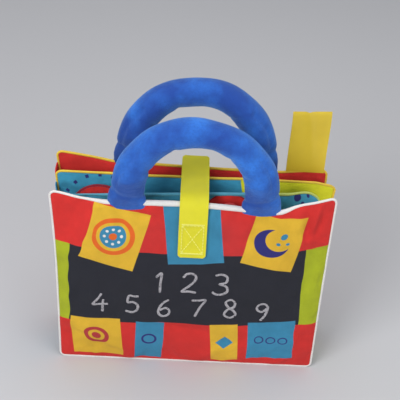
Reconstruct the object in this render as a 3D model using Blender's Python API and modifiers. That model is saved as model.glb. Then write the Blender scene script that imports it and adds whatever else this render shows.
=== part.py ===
"""Soft cloth activity book: padded leaves, stuffed handles, closing strap and page activities."""
import math

import bmesh
import bpy
from mathutils import Vector

# Leaves, from the front cover to the back cover along +Y
LEAF_NAMES = ("front_cover", "leaf_1", "leaf_2", "back_cover")
LEAF_WIDTH = 0.244
LEAF_HEIGHT = 0.180
LEAF_RISE = 0.002
LEAF_PITCH = 0.021
COVER_THICKNESS = 0.013
PAGE_THICKNESS = 0.010
EDGE_THICKNESS = 0.006
CORNER_RADIUS = 0.014
SKIN_THICKNESS = 0.0009
PIPING_RADIUS = 0.0022
PIPING_FLAT = 0.0005
CLEARANCE = 0.0003
COLUMNS = 10
ROWS = 8
CORNER_STEPS = 5
CROWN_POWER = 4

# Spine
GUSSET_THICKNESS = 0.0009
GUSSET_EDGE_GAP = 0.0001
GUSSET_END_GAP = 0.010

# Closing strap
WEBBING_WIDTH = 0.025
WEBBING_THICKNESS = 0.0018
STRAP_SEWN_LENGTH = 0.048
STRAP_BEND_DROP = 0.0005
STRAP_OVERHANG = 0.006
PAD_LENGTH = 0.018
PAD_THICKNESS = 0.0015
PAD_MARGIN = 0.0015
TAB_THICKNESS = 0.0012
TAB_LENGTH = 0.018

# Handles
HANDLE_RADIUS = 0.015
HANDLE_ARCH_RADIUS = 0.058
HANDLE_LEG = 0.006
HANDLE_SEAM_THICKNESS = 0.005
HANDLE_SWELL_HEIGHT = 0.032
HANDLE_FOOT_DROP = 0.0074
HANDLE_PIVOT_HEIGHT = 0.008
HANDLE_FOOT_SHARE = 1.17
HANDLE_CROWN_SHARE = 0.96
HANDLE_ARC_STEPS = 16

# Care label
LABEL_WIDTH = 0.035
LABEL_HEIGHT = 0.060
LABEL_THICKNESS = 0.0008
LABEL_EDGE_GAP = 0.004

# Spinning wheel on leaf 2
WHEEL_RADIUS = 0.027
WHEEL_THICKNESS = 0.0075
WHEEL_RIM_THICKNESS = 0.003
WHEEL_BORE_RADIUS = 0.0038
WHEEL_SIDE_GAP = 0.010
WHEEL_TOP_GAP = 0.0065
RIVET_HEAD_RADIUS = 0.0075
RIVET_HEAD_THICKNESS = 0.0016
RIVET_SHAFT_RADIUS = 0.0033
TURNED_STEPS = 28

# Counting beads on leaf 2
BEAD_RADIUS = 0.010
BEAD_THICKNESS = 0.009
BEAD_BORE_RADIUS = 0.0018
BEAD_SPACING = 0.040
BEAD_COUNT = 3
BEAD_HEIGHT = 0.080
BEAD_ROW_X = 0.010
BEAD_PAGE_GAP = 0.0006
CORD_RADIUS = 0.0011
CORD_END_ROOM = 0.032
CORD_TAB_LENGTH = 0.008

# Belt and buckle on the back of leaf 2
BELT_WIDTH = 0.020
BELT_THICKNESS = 0.0016
BELT_HEIGHT = 0.100
BELT_LEFT_LENGTH = 0.078
BELT_RIGHT_LENGTH = 0.062
SOCKET_LENGTH = 0.034
SOCKET_WIDTH = 0.027
SOCKET_THICKNESS = 0.0080
SOCKET_WALL = 0.0018
SOCKET_X = -0.006
SLOT_DEPTH = 0.026
PRONG_BASE_LENGTH = 0.011
PRONG_GAP = 0.0005
LOOP_LENGTH = 0.008
LOOP_THICKNESS = 0.0012
LOOP_ROOM = 0.0006
LOOP_COUNT = 2
LOOP_SPACING = 0.022

# Flower and button on leaf 1
FLOWER_RADIUS = 0.024
FLOWER_THICKNESS = 0.003
FLOWER_HOLE_RADIUS = 0.0045
PETAL_COUNT = 6
PETAL_SHARE = 0.13
PETAL_STEPS = 8
FLOWER_X = 0.032
FLOWER_TOP_GAP = 0.006
BUTTON_RADIUS = 0.009
BUTTON_THICKNESS = 0.003
BUTTON_SHANK_RADIUS = 0.0032

# Zip inside the back cover
ZIP_LENGTH = 0.160
ZIP_HEIGHT = 0.050
TAPE_WIDTH = 0.013
TAPE_THICKNESS = 0.0010
TEETH_WIDTH = 0.005
TEETH_THICKNESS = 0.0022
SLIDER_LENGTH = 0.012
SLIDER_WIDTH = 0.009
SLIDER_THICKNESS = 0.0024
SLIDER_END_ROOM = 0.004
PULL_LENGTH = 0.022
PULL_WIDTH = 0.007
PULL_THICKNESS = 0.0014
ROUND_EDGE = 0.0008
CUT_OVERRUN = 0.002

for stale in list(bpy.data.objects):
    bpy.data.objects.remove(stale, do_unlink=True)

book = bpy.data.collections.new("activity_book")
cutters = bpy.data.collections.new("cutters")
bpy.context.scene.collection.children.link(book)
bpy.context.scene.collection.children.link(cutters)


def material(name, colour, roughness=0.85, metallic=0.0):
    """Make a plain material."""
    made = bpy.data.materials.new(name)
    made.use_nodes = True
    shader = made.node_tree.nodes["Principled BSDF"]
    shader.inputs["Base Color"].default_value = (*colour, 1.0)
    shader.inputs["Roughness"].default_value = roughness
    shader.inputs["Metallic"].default_value = metallic
    return made


def leaf_y(index):
    """Middle of a leaf along Y."""
    return (index - (len(LEAF_NAMES) - 1) / 2) * LEAF_PITCH


def leaf_top(index):
    """Height of a leaf over its piping."""
    return LEAF_HEIGHT + index * LEAF_RISE


def leaf_thickness(index):
    """Thickness of a leaf at its crown."""
    is_cover = index in (0, len(LEAF_NAMES) - 1)
    return COVER_THICKNESS if is_cover else PAGE_THICKNESS


def leaf_half_size(index):
    """Half width and half height of a leaf's padding, inside its piping."""
    band = 2 * PIPING_RADIUS + CLEARANCE
    return LEAF_WIDTH / 2 - band, (leaf_top(index) + PIPING_FLAT) / 2 - band


def leaf_middle(index):
    """Height of a leaf's middle."""
    return (leaf_top(index) - PIPING_FLAT) / 2


def leaf_surface(index, x, z):
    """Half thickness of a leaf at a place, measured from the leaf's middle."""
    half_width, half_height = leaf_half_size(index)
    across = min(abs(x) / half_width, 1)
    up = min(abs(z - leaf_middle(index)) / half_height, 1)
    crown = (1 - across ** CROWN_POWER) * (1 - up ** CROWN_POWER)
    return (EDGE_THICKNESS + (leaf_thickness(index) - EDGE_THICKNESS) * crown) / 2


def pivot(name, where, parent=None):
    """Put an empty on a joint's axis."""
    made = bpy.data.objects.new(name, None)
    made.empty_display_size = LEAF_PITCH
    book.objects.link(made)
    made["where"] = where
    made.parent = parent
    made.location = Vector(where) - (Vector(parent["where"]) if parent else Vector())
    return made


def place(piece, where, parent, look, collection=book):
    """Name a piece's place, parent and material."""
    for owner in list(piece.users_collection):
        owner.objects.unlink(piece)
    collection.objects.link(piece)
    piece.parent = parent
    piece.location = Vector(where) - (Vector(parent["where"]) if parent else Vector())
    piece.data.materials.clear()
    piece.data.materials.append(look)
    return piece


def mesh_object(name, mesh_source):
    """Turn a bmesh into an object."""
    mesh_source.normal_update()
    bmesh.ops.recalc_face_normals(mesh_source, faces=mesh_source.faces)
    mesh = bpy.data.meshes.new(name)
    mesh_source.to_mesh(mesh)
    mesh_source.free()
    return bpy.data.objects.new(name, mesh)


def block(name, size, rounding=0.0):
    """Make a box with rounded edges round its own middle."""
    source = bmesh.new()
    bmesh.ops.create_cube(source, size=1)
    bmesh.ops.scale(source, vec=size, verts=source.verts)
    made = mesh_object(name, source)
    if rounding:
        edge = made.modifiers.new("round", "BEVEL")
        edge.width = rounding
        edge.segments = 2
    return made


def turned(name, profile):
    """Turn a closed profile of (radius, depth) points round the Y axis."""
    area = sum(a[0] * b[1] - b[0] * a[1] for a, b in zip(profile, profile[1:] + profile[:1]))
    source = bmesh.new()
    ordered = profile if area < 0 else tuple(reversed(profile))
    corners = [source.verts.new((radius, depth, 0)) for radius, depth in ordered]
    for start, end in zip(corners, corners[1:] + corners[:1]):
        source.edges.new((start, end))
    made = bpy.data.objects.new(name, bpy.data.meshes.new(name))
    source.to_mesh(made.data)
    source.free()
    screw = made.modifiers.new("turn", "SCREW")
    screw.axis = "Y"
    screw.steps = TURNED_STEPS
    screw.render_steps = TURNED_STEPS
    screw.use_merge_vertices = True
    screw.merge_threshold = CLEARANCE / 10
    return made


def tube_mesh(name, points, radius, cyclic, resolution, shares=None):
    """Sweep a round tube along points and return it as a welded mesh object."""
    curve = bpy.data.curves.new(name, "CURVE")
    curve.dimensions = "3D"
    curve.bevel_depth = radius
    curve.bevel_resolution = resolution
    curve.use_fill_caps = not cyclic
    spline = curve.splines.new("POLY")
    spline.points.add(len(points) - 1)
    spline.use_cyclic_u = cyclic
    for index, point in enumerate(points):
        spline.points[index].co = (*point, 1)
        spline.points[index].radius = shares[index] if shares else 1
    drawn = bpy.data.objects.new(name + "_curve", curve)
    bpy.context.scene.collection.objects.link(drawn)
    depsgraph = bpy.context.evaluated_depsgraph_get()
    mesh = bpy.data.meshes.new_from_object(drawn.evaluated_get(depsgraph))
    bpy.data.objects.remove(drawn, do_unlink=True)
    source = bmesh.new()
    source.from_mesh(mesh)
    bmesh.ops.remove_doubles(source, verts=source.verts, dist=CLEARANCE / 10)
    bpy.data.meshes.remove(mesh)
    return source


def extruded(name, loops, thickness, order=(0, 2, 1)):
    """Extrude a flat outline; order says which of (first, second, depth) goes to x, y and z."""
    curve = bpy.data.curves.new(name, "CURVE")
    curve.dimensions = "2D"
    curve.fill_mode = "BOTH"
    curve.extrude = thickness / 2
    for loop in loops:
        spline = curve.splines.new("POLY")
        spline.points.add(len(loop) - 1)
        spline.use_cyclic_u = True
        for index, (first, second) in enumerate(loop):
            spline.points[index].co = (first, second, 0, 1)
    drawn = bpy.data.objects.new(name + "_curve", curve)
    bpy.context.scene.collection.objects.link(drawn)
    depsgraph = bpy.context.evaluated_depsgraph_get()
    mesh = bpy.data.meshes.new_from_object(drawn.evaluated_get(depsgraph))
    bpy.data.objects.remove(drawn, do_unlink=True)
    source = bmesh.new()
    source.from_mesh(mesh)
    bmesh.ops.remove_doubles(source, verts=source.verts, dist=CLEARANCE / 10)
    for vert in source.verts:
        vert.co = Vector([vert.co[axis] for axis in order])
    bpy.data.meshes.remove(mesh)
    return mesh_object(name, source)


def cut(piece, cutter):
    """Cut one piece by another."""
    cutter.hide_render = True
    cutter.display_type = "WIRE"
    trim = piece.modifiers.new("cut", "BOOLEAN")
    trim.object = cutter
    trim.solver = "EXACT"


def rounded_place(x, z, half_width, half_height):
    """Draw a place in a leaf's corner square in to the round corner."""
    core_x = half_width - CORNER_RADIUS
    core_z = half_height - CORNER_RADIUS
    over_x = abs(x) - core_x
    over_z = abs(z) - core_z
    if over_x <= 0 or over_z <= 0:
        return x, z
    share = max(over_x, over_z) / math.hypot(over_x, over_z)
    return math.copysign(core_x + over_x * share, x), math.copysign(core_z + over_z * share, z)


def leaf_grid(index):
    """Lay a grid over a leaf, closer near its edges, as (x, z) places."""
    half_width, half_height = leaf_half_size(index)
    source = bmesh.new()
    bmesh.ops.create_grid(source, x_segments=COLUMNS, y_segments=ROWS, size=1)
    for vert in source.verts:
        across = math.sin(vert.co.x * math.pi / 2) * half_width
        up = math.sin(vert.co.y * math.pi / 2) * half_height
        x, z = rounded_place(across, up, half_width, half_height)
        vert.co = (x, leaf_surface(index, across, up + leaf_middle(index)), z)
    return source


def leaf_skin(index, side, name, look, body):
    """Sheet of printed cloth on one face of a leaf; side is -1 in front and 1 behind."""
    source = leaf_grid(index)
    for vert in source.verts:
        vert.co.y = side * (vert.co.y - SKIN_THICKNESS)
    bmesh.ops.recalc_face_normals(source, faces=source.faces)
    source.normal_update()
    facing = sum(face.normal.y for face in source.faces) * side
    if facing < 0:
        bmesh.ops.reverse_faces(source, faces=source.faces)
    skin = bpy.data.objects.new(name, bpy.data.meshes.new(name))
    source.to_mesh(skin.data)
    source.free()
    cloth = skin.modifiers.new("cloth", "SOLIDIFY")
    cloth.thickness = SKIN_THICKNESS
    cloth.offset = 1
    place(skin, (0, leaf_y(index), leaf_middle(index)), body, look)


def leaf_batting(index, look, body):
    """Padding between a leaf's skins, thick in the middle and thin at the edge."""
    inset = SKIN_THICKNESS + CLEARANCE
    source = leaf_grid(index)
    for vert in source.verts:
        vert.co.y -= inset
    front = bmesh.ops.duplicate(source, geom=source.verts[:] + source.edges[:] + source.faces[:])
    for item in front["geom"]:
        if isinstance(item, bmesh.types.BMVert):
            item.co.y = -item.co.y
    rims = [edge for edge in source.edges if edge.is_boundary]
    bmesh.ops.bridge_loops(source, edges=rims)
    batting = mesh_object(LEAF_NAMES[index] + "_batting", source)
    place(batting, (0, leaf_y(index), leaf_middle(index)), body, look)


def leaf_piping(index, look, body):
    """Covered cord sewn round a leaf, flat below where the leaf stands on it."""
    half_width = LEAF_WIDTH / 2 - PIPING_RADIUS
    half_height = (leaf_top(index) + PIPING_FLAT) / 2 - PIPING_RADIUS
    radius = CORNER_RADIUS + PIPING_RADIUS + CLEARANCE
    points = []
    for quarter, (side_x, side_z) in enumerate(((1, 1), (-1, 1), (-1, -1), (1, -1))):
        for step in range(CORNER_STEPS + 1):
            angle = (quarter + step / CORNER_STEPS) * math.pi / 2
            x = side_x * (half_width - radius) + radius * math.cos(angle)
            z = side_z * (half_height - radius) + radius * math.sin(angle)
            points.append((x, 0, z))
    name = LEAF_NAMES[index] + "_piping"
    source = tube_mesh(name, points, PIPING_RADIUS, True, 2)
    floor = -leaf_middle(index)
    shape = bmesh.ops.bisect_plane(
        source, geom=source.verts[:] + source.edges[:] + source.faces[:],
        plane_co=(0, 0, floor), plane_no=(0, 0, -1), clear_outer=True)
    rim = [item for item in shape["geom_cut"] if isinstance(item, bmesh.types.BMEdge)]
    bmesh.ops.holes_fill(source, edges=rim)
    place(mesh_object(name, source), (0, leaf_y(index), leaf_middle(index)), body, look)


def leaf(index, front_look, back_look, piping_look, body):
    """One padded leaf with its skins, batting and piping."""
    name = LEAF_NAMES[index]
    leaf_skin(index, -1, name + "_front_skin", front_look, body)
    leaf_skin(index, 1, name + "_back_skin", back_look, body)
    leaf_batting(index, BATTING, body)
    leaf_piping(index, piping_look, body)


def gusset(index, look, body):
    """Cloth strip that joins a leaf to the one behind it, inside the hinge line."""
    free = LEAF_PITCH - 2 * PIPING_RADIUS - 2 * GUSSET_EDGE_GAP
    tall = leaf_top(index) - 2 * GUSSET_END_GAP
    strip = block("gusset_%d" % (index + 1), (GUSSET_THICKNESS, free, tall))
    place(strip, (HINGE_X, leaf_y(index) + LEAF_PITCH / 2, leaf_top(index) / 2), body, look)


def strip_along(name, path, width, thickness):
    """Flat band that follows (y, z) points, width along X."""
    source = bmesh.new()
    rows = []
    for y, z in path:
        rows.append([source.verts.new((side * width / 2, y, z)) for side in (-1, 1)])
    for low, high in zip(rows, rows[1:]):
        source.faces.new((low[0], low[1], high[1], high[0]))
    made = bpy.data.objects.new(name, bpy.data.meshes.new(name))
    source.to_mesh(made.data)
    source.free()
    band = made.modifiers.new("webbing", "SOLIDIFY")
    band.thickness = thickness
    band.offset = 0
    band.use_even_offset = True
    return made


def strap(look, pad_look, cover, body):
    """Webbing strap: sewn end down the front cover and free end over the page tops."""
    pivot_y, pivot_z = STRAP_PIVOT[1:]
    half = WEBBING_THICKNESS / 2
    path = []
    low = pivot_z - CLEARANCE - math.hypot(half, STRAP_BEND_DROP) - STRAP_SEWN_LENGTH
    for step in range(ROWS - 1):
        z = low + STRAP_SEWN_LENGTH * step / (ROWS - 2)
        face = leaf_surface(0, 0, min(z, leaf_middle(0) * 2)) + CLEARANCE + half
        path.append((-face, z - low))
    sewn = strip_along("strap_sewn_end", path, WEBBING_WIDTH, WEBBING_THICKNESS)
    place(sewn, (0, leaf_y(0), low), cover, look)
    reach = STRAP_END_Y - pivot_y
    rise = STRAP_RUN_Z - pivot_z
    run = ((0, -STRAP_BEND_DROP), (rise / 6, rise / 2), (rise / 2, rise * 5 / 6), (rise, rise), (reach, rise))
    free = strip_along("strap_free_end", run, WEBBING_WIDTH, WEBBING_THICKNESS)
    place(free, STRAP_PIVOT, body, look)
    pad = block("strap_hook_pad", (WEBBING_WIDTH - 2 * PAD_MARGIN, PAD_LENGTH, PAD_THICKNESS))
    pad_z = STRAP_RUN_Z - half - CLEARANCE - PAD_THICKNESS / 2
    place(pad, (0, STRAP_END_Y - PAD_MARGIN - PAD_LENGTH / 2, pad_z), body, pad_look)


def loop_tab(look, body):
    """Tab in the back cover's top seam that the strap's hook pad grips."""
    tab = block("back_cover_loop_tab", (WEBBING_WIDTH, TAB_LENGTH, TAB_THICKNESS))
    back = len(LEAF_NAMES) - 1
    top = leaf_top(back) + CLEARANCE + TAB_THICKNESS / 2
    place(tab, (0, STRAP_END_Y - PAD_MARGIN - TAB_LENGTH / 2, top), body, look)


def handle(name, index, look, body):
    """Stuffed plush handle: swollen arch, drawn flat where its feet enter the seam."""
    foot = [(HANDLE_ARCH_RADIUS, 0, -HANDLE_FOOT_DROP), (HANDLE_ARCH_RADIUS, 0, 0)]
    foot_shares = [HANDLE_FOOT_SHARE, (HANDLE_FOOT_SHARE + 1) / 2]
    points = list(foot)
    shares = list(foot_shares)
    for step in range(HANDLE_ARC_STEPS + 1):
        angle = math.pi * step / HANDLE_ARC_STEPS
        x = HANDLE_ARCH_RADIUS * math.cos(angle)
        z = HANDLE_LEG + HANDLE_ARCH_RADIUS * math.sin(angle)
        points.append((x, 0, z))
        shares.append(1 + (HANDLE_CROWN_SHARE - 1) * math.sin(angle))
    points += [(-x, y, z) for x, y, z in reversed(foot)]
    shares += reversed(foot_shares)
    source = tube_mesh(name, points, HANDLE_RADIUS, False, 4, shares)
    thin_share = HANDLE_SEAM_THICKNESS / (2 * HANDLE_RADIUS * HANDLE_FOOT_SHARE)
    for vert in source.verts:
        height = min(max(vert.co.z + HANDLE_FOOT_DROP, 0) / HANDLE_SWELL_HEIGHT, 1)
        vert.co.y *= thin_share + (1 - thin_share) * height ** 1.5
    place(mesh_object(name, source), handle_pivot(index), body, look)


def handle_pivot(index):
    """Place on a handle's tilt axis."""
    return (0, leaf_y(index), leaf_top(index) + HANDLE_PIVOT_HEIGHT)


def care_label(look, body):
    """Bare cloth label that stands in the back cover's top seam."""
    back = len(LEAF_NAMES) - 1
    label = block("care_label", (LABEL_WIDTH, LABEL_THICKNESS, LABEL_HEIGHT))
    x = LEAF_WIDTH / 2 - LABEL_EDGE_GAP - LABEL_WIDTH / 2
    z = leaf_top(back) + CLEARANCE + LABEL_HEIGHT / 2
    place(label, (x, leaf_y(back), z), body, look)


def wheel(look, rivet_look, page, body):
    """Padded wheel that spins on a rivet."""
    half = WHEEL_THICKNESS / 2
    rim = WHEEL_RIM_THICKNESS / 2
    bulge_share = 0.55
    profile = (
        (WHEEL_BORE_RADIUS, -half), (WHEEL_RADIUS * bulge_share, -half),
        (WHEEL_RADIUS - rim, -(half + rim) / 2), (WHEEL_RADIUS, -rim / 2), (WHEEL_RADIUS, rim / 2),
        (WHEEL_RADIUS - rim, (half + rim) / 2), (WHEEL_RADIUS * bulge_share, half),
        (WHEEL_BORE_RADIUS, half))
    x, y, z = WHEEL_PIVOT
    place(turned("spinning_wheel", profile), WHEEL_PIVOT, body, look)
    page_y = leaf_y(2) - leaf_surface(2, x, z) - CLEARANCE
    head = y - half - CLEARANCE
    rivet = turned("wheel_rivet", (
        (0, 0), (RIVET_SHAFT_RADIUS, 0), (RIVET_SHAFT_RADIUS, head - page_y),
        (RIVET_HEAD_RADIUS, head - page_y), (RIVET_HEAD_RADIUS, head - page_y - RIVET_HEAD_THICKNESS / 2),
        (RIVET_HEAD_RADIUS / 2, head - page_y - RIVET_HEAD_THICKNESS),
        (0, head - page_y - RIVET_HEAD_THICKNESS)))
    place(rivet, (x, page_y, z), page, rivet_look)


def beads(looks, cord_look, tab_look, page, bodies):
    """Three flat beads that slide along a cord between two cloth tabs."""
    row_y = bead_y()
    half = BEAD_SPACING * (BEAD_COUNT - 1) / 2 + CORD_END_ROOM
    for number, body in enumerate(bodies):
        source = bmesh.new()
        bmesh.ops.create_uvsphere(source, u_segments=16, v_segments=9, radius=1)
        bmesh.ops.scale(source, vec=(BEAD_RADIUS, BEAD_THICKNESS / 2, BEAD_RADIUS), verts=source.verts)
        bead = mesh_object("bead_%d" % (number + 1), source)
        bore = bmesh.new()
        bmesh.ops.create_cone(
            bore, cap_ends=True, segments=12, radius1=BEAD_BORE_RADIUS, radius2=BEAD_BORE_RADIUS,
            depth=2 * (BEAD_RADIUS + CUT_OVERRUN))
        for vert in bore.verts:
            vert.co = Vector((vert.co.z, vert.co.y, vert.co.x))
        drill = place(mesh_object("bead_%d_drill" % (number + 1), bore), body["where"], body, cord_look,
                      cutters)
        cut(bead, drill)
        place(bead, body["where"], body, looks[number])
    cord = tube_mesh("bead_cord", [(-half, 0, 0), (0, 0, 0), (half, 0, 0)], CORD_RADIUS, False, 2)
    place(mesh_object("bead_cord", cord), (BEAD_ROW_X, row_y, BEAD_HEIGHT), page, cord_look)
    deep = leaf_y(2) - PAGE_THICKNESS / 2 - CLEARANCE - row_y + CORD_TAB_LENGTH / 2
    for side, name in ((-1, "cord_tab_left"), (1, "cord_tab_right")):
        tab = block(name, (CORD_TAB_LENGTH, deep, CORD_TAB_LENGTH), ROUND_EDGE)
        x = BEAD_ROW_X + side * (half + CLEARANCE + CORD_TAB_LENGTH / 2)
        place(tab, (x, row_y - CORD_TAB_LENGTH / 2 + deep / 2, BEAD_HEIGHT), page, tab_look)


def bead_y():
    """Depth of the beads' cord in front of leaf 2."""
    return leaf_y(2) - PAGE_THICKNESS / 2 - BEAD_PAGE_GAP - BEAD_THICKNESS / 2


def buckle(belt_look, buckle_look, loop_look, page, body):
    """Belt with a side buckle: the prong and its belt pull out of the socket."""
    page_y = leaf_y(2) + PAGE_THICKNESS / 2 + CLEARANCE
    middle_y = page_y + SOCKET_THICKNESS / 2
    left = block("belt_left", (BELT_LEFT_LENGTH, BELT_THICKNESS, BELT_WIDTH))
    left_x = SOCKET_X - SOCKET_LENGTH / 2 - CLEARANCE - BELT_LEFT_LENGTH / 2
    place(left, (left_x, page_y + BELT_THICKNESS / 2, BELT_HEIGHT), page, belt_look)
    socket = block("buckle_socket", (SOCKET_LENGTH, SOCKET_THICKNESS, SOCKET_WIDTH), ROUND_EDGE)
    slot_size = (SLOT_DEPTH + CUT_OVERRUN, SOCKET_THICKNESS - 2 * SOCKET_WALL, SOCKET_WIDTH - 2 * SOCKET_WALL)
    mouth_x = SOCKET_X + SOCKET_LENGTH / 2
    slot = block("socket_slot", slot_size)
    place(slot, (mouth_x + CUT_OVERRUN - slot_size[0] / 2, middle_y, BELT_HEIGHT), page, buckle_look, cutters)
    cut(socket, slot)
    place(socket, (SOCKET_X, middle_y, BELT_HEIGHT), page, buckle_look)
    tongue = (SOCKET_THICKNESS - 2 * SOCKET_WALL) / 2 - PRONG_GAP
    base = SOCKET_THICKNESS / 2
    tip = -(SLOT_DEPTH - 2 * PRONG_GAP)
    width = SOCKET_WIDTH - 2 * SOCKET_WALL - 2 * PRONG_GAP
    outline = ((tip, -tongue), (0, -tongue), (0, -base), (PRONG_BASE_LENGTH, -base),
               (PRONG_BASE_LENGTH, base), (0, base), (0, tongue), (tip, tongue))
    prong = extruded("buckle_prong", (outline,), width, (0, 1, 2))
    place(prong, (mouth_x + PRONG_GAP, middle_y, BELT_HEIGHT), body, buckle_look)
    belt_y = page_y + LOOP_ROOM + BELT_THICKNESS / 2
    right_x = mouth_x + PRONG_GAP + PRONG_BASE_LENGTH + CLEARANCE
    right = block("belt_right", (BELT_RIGHT_LENGTH, BELT_THICKNESS, BELT_WIDTH))
    place(right, (right_x + BELT_RIGHT_LENGTH / 2, belt_y, BELT_HEIGHT), body, belt_look)
    inner_z = BELT_WIDTH / 2 + LOOP_ROOM
    inner_y = 2 * LOOP_ROOM + BELT_THICKNESS
    outer_z = inner_z + LOOP_THICKNESS
    outer_y = inner_y + LOOP_THICKNESS
    arch = ((-outer_z, 0), (-outer_z, outer_y), (outer_z, outer_y), (outer_z, 0), (inner_z, 0),
            (inner_z, inner_y), (-inner_z, inner_y), (-inner_z, 0))
    last_x = right_x + BELT_RIGHT_LENGTH - LOOP_LENGTH / 2
    for number in range(LOOP_COUNT):
        loop = extruded("belt_loop_%d" % (number + 1), (arch,), LOOP_LENGTH, (2, 1, 0))
        x = last_x - number * LOOP_SPACING
        place(loop, (x, page_y, BELT_HEIGHT), page, loop_look)


def flower(look, button_look, page, body):
    """Felt flower that turns on the button it is buttoned to."""
    count = PETAL_COUNT * PETAL_STEPS
    rim = []
    for step in range(count):
        angle = 2 * math.pi * step / count
        radius = FLOWER_RADIUS * (1 - PETAL_SHARE + PETAL_SHARE * abs(math.cos(angle * PETAL_COUNT / 2)))
        rim.append((radius * math.cos(angle), radius * math.sin(angle)))
    hole = []
    for step in range(TURNED_STEPS):
        angle = 2 * math.pi * step / TURNED_STEPS
        hole.append((FLOWER_HOLE_RADIUS * math.cos(angle), FLOWER_HOLE_RADIUS * math.sin(angle)))
    place(extruded("felt_flower", (rim, hole), FLOWER_THICKNESS), FLOWER_PIVOT, body, look)
    x, y, z = FLOWER_PIVOT
    page_y = leaf_y(1) - leaf_surface(1, x, z) - CLEARANCE
    head = y - FLOWER_THICKNESS / 2 - CLEARANCE - page_y
    button = turned("flower_button", (
        (0, 0), (BUTTON_SHANK_RADIUS, 0), (BUTTON_SHANK_RADIUS, head), (BUTTON_RADIUS, head),
        (BUTTON_RADIUS, head - BUTTON_THICKNESS), (BUTTON_RADIUS - ROUND_EDGE, head - BUTTON_THICKNESS),
        (BUTTON_RADIUS * 2 / 3, head - BUTTON_THICKNESS * 2 / 3), (0, head - BUTTON_THICKNESS * 2 / 3)))
    place(button, (x, page_y, z), page, button_look)


def zipper(tape_look, teeth_look, slider_look, cover, slider_body, pull_body):
    """Closed zip with a slider and a pull tab."""
    back = len(LEAF_NAMES) - 1
    page_y = leaf_y(back) - COVER_THICKNESS / 2 - CLEARANCE
    for side, name in ((-1, "zip_tape_lower"), (1, "zip_tape_upper")):
        tape = block(name, (ZIP_LENGTH, TAPE_THICKNESS, TAPE_WIDTH))
        z = ZIP_HEIGHT + side * (TEETH_WIDTH / 2 + CLEARANCE + TAPE_WIDTH / 2)
        place(tape, (0, page_y - TAPE_THICKNESS / 2, z), cover, tape_look)
    teeth = block("zip_teeth", (ZIP_LENGTH, TEETH_THICKNESS, TEETH_WIDTH))
    place(teeth, (0, page_y - TEETH_THICKNESS / 2, ZIP_HEIGHT), cover, teeth_look)
    slider = block("zip_slider", (SLIDER_LENGTH, SLIDER_THICKNESS, SLIDER_WIDTH), ROUND_EDGE)
    place(slider, SLIDER_PIVOT, slider_body, slider_look)
    half = PULL_WIDTH / 2
    outline = [(half, -PULL_LENGTH + half), (half, 0)]
    for step in range(1, CORNER_STEPS + 1):
        angle = math.pi * step / CORNER_STEPS
        outline.append((half * math.cos(angle), half * math.sin(angle)))
    outline.append((-half, -PULL_LENGTH + half))
    for step in range(1, CORNER_STEPS):
        angle = math.pi * (1 + step / CORNER_STEPS)
        outline.append((half * math.cos(angle), half * math.sin(angle) - PULL_LENGTH + half))
    place(extruded("zip_pull", (outline,), PULL_THICKNESS), PULL_PIVOT, pull_body, slider_look)


RED_CLOTH = material("red_cloth", (0.75, 0.03, 0.025))
TEAL_CLOTH = material("teal_cloth", (0.03, 0.24, 0.40))
LIME_CLOTH = material("lime_cloth", (0.52, 0.60, 0.02))
YELLOW_CLOTH = material("yellow_cloth", (0.83, 0.52, 0.04))
WHITE_PIPING = material("white_piping", (0.85, 0.85, 0.83))
YELLOW_PIPING = material("yellow_piping", (0.83, 0.55, 0.06))
TEAL_PIPING = material("teal_piping", (0.10, 0.40, 0.55))
BATTING = material("batting", (0.80, 0.80, 0.78))
BLUE_PLUSH = material("blue_plush", (0.02, 0.10, 0.60), 0.95)
LIME_WEBBING = material("lime_webbing", (0.60, 0.70, 0.01))
HOOK_PAD = material("hook_pad", (0.55, 0.65, 0.03))
LABEL = material("label", (0.82, 0.70, 0.05), 0.5)
BLUE_PLASTIC = material("blue_plastic", (0.02, 0.08, 0.45), 0.4)
RED_PLASTIC = material("red_plastic", (0.70, 0.02, 0.02), 0.4)
GREEN_PLASTIC = material("green_plastic", (0.05, 0.45, 0.08), 0.4)
WHITE_CORD = material("white_cord", (0.85, 0.85, 0.80))
YELLOW_PLASTIC = material("yellow_plastic", (0.85, 0.60, 0.03), 0.4)
WHITE_PLASTIC = material("white_plastic", (0.82, 0.82, 0.80), 0.5)
RED_FELT = material("red_felt", (0.60, 0.02, 0.025), 0.95)
BLUE_TAPE = material("blue_tape", (0.02, 0.10, 0.42), 0.7)

HINGE_X = -LEAF_WIDTH / 2
BACK = len(LEAF_NAMES) - 1
TAB_TOP = leaf_top(BACK) + CLEARANCE + TAB_THICKNESS
STRAP_RUN_Z = TAB_TOP + CLEARANCE + PAD_THICKNESS + CLEARANCE + WEBBING_THICKNESS / 2
STRAP_END_Y = leaf_y(BACK) + STRAP_OVERHANG
STRAP_PIVOT = (
    0, leaf_y(0) - EDGE_THICKNESS / 2 - CLEARANCE - WEBBING_THICKNESS / 2,
    leaf_top(0) + CLEARANCE + WEBBING_THICKNESS / 2)
WHEEL_PIVOT = (
    WHEEL_SIDE_GAP + WHEEL_RADIUS - LEAF_WIDTH / 2,
    leaf_y(2) - PAGE_THICKNESS / 2 - CLEARANCE - WHEEL_THICKNESS / 2,
    leaf_top(2) - WHEEL_TOP_GAP - WHEEL_RADIUS)
FLOWER_PIVOT = (
    FLOWER_X, leaf_y(1) - PAGE_THICKNESS / 2 - CLEARANCE - FLOWER_THICKNESS / 2,
    leaf_top(1) - FLOWER_TOP_GAP - FLOWER_RADIUS)
SLIDER_PIVOT = (
    SLIDER_END_ROOM + (SLIDER_LENGTH - ZIP_LENGTH) / 2,
    leaf_y(BACK) - COVER_THICKNESS / 2 - 2 * CLEARANCE - TEETH_THICKNESS - SLIDER_THICKNESS / 2,
    ZIP_HEIGHT)
PULL_PIVOT = (
    SLIDER_PIVOT[0], SLIDER_PIVOT[1] - SLIDER_THICKNESS / 2 - CLEARANCE - PULL_THICKNESS / 2, ZIP_HEIGHT)
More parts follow.
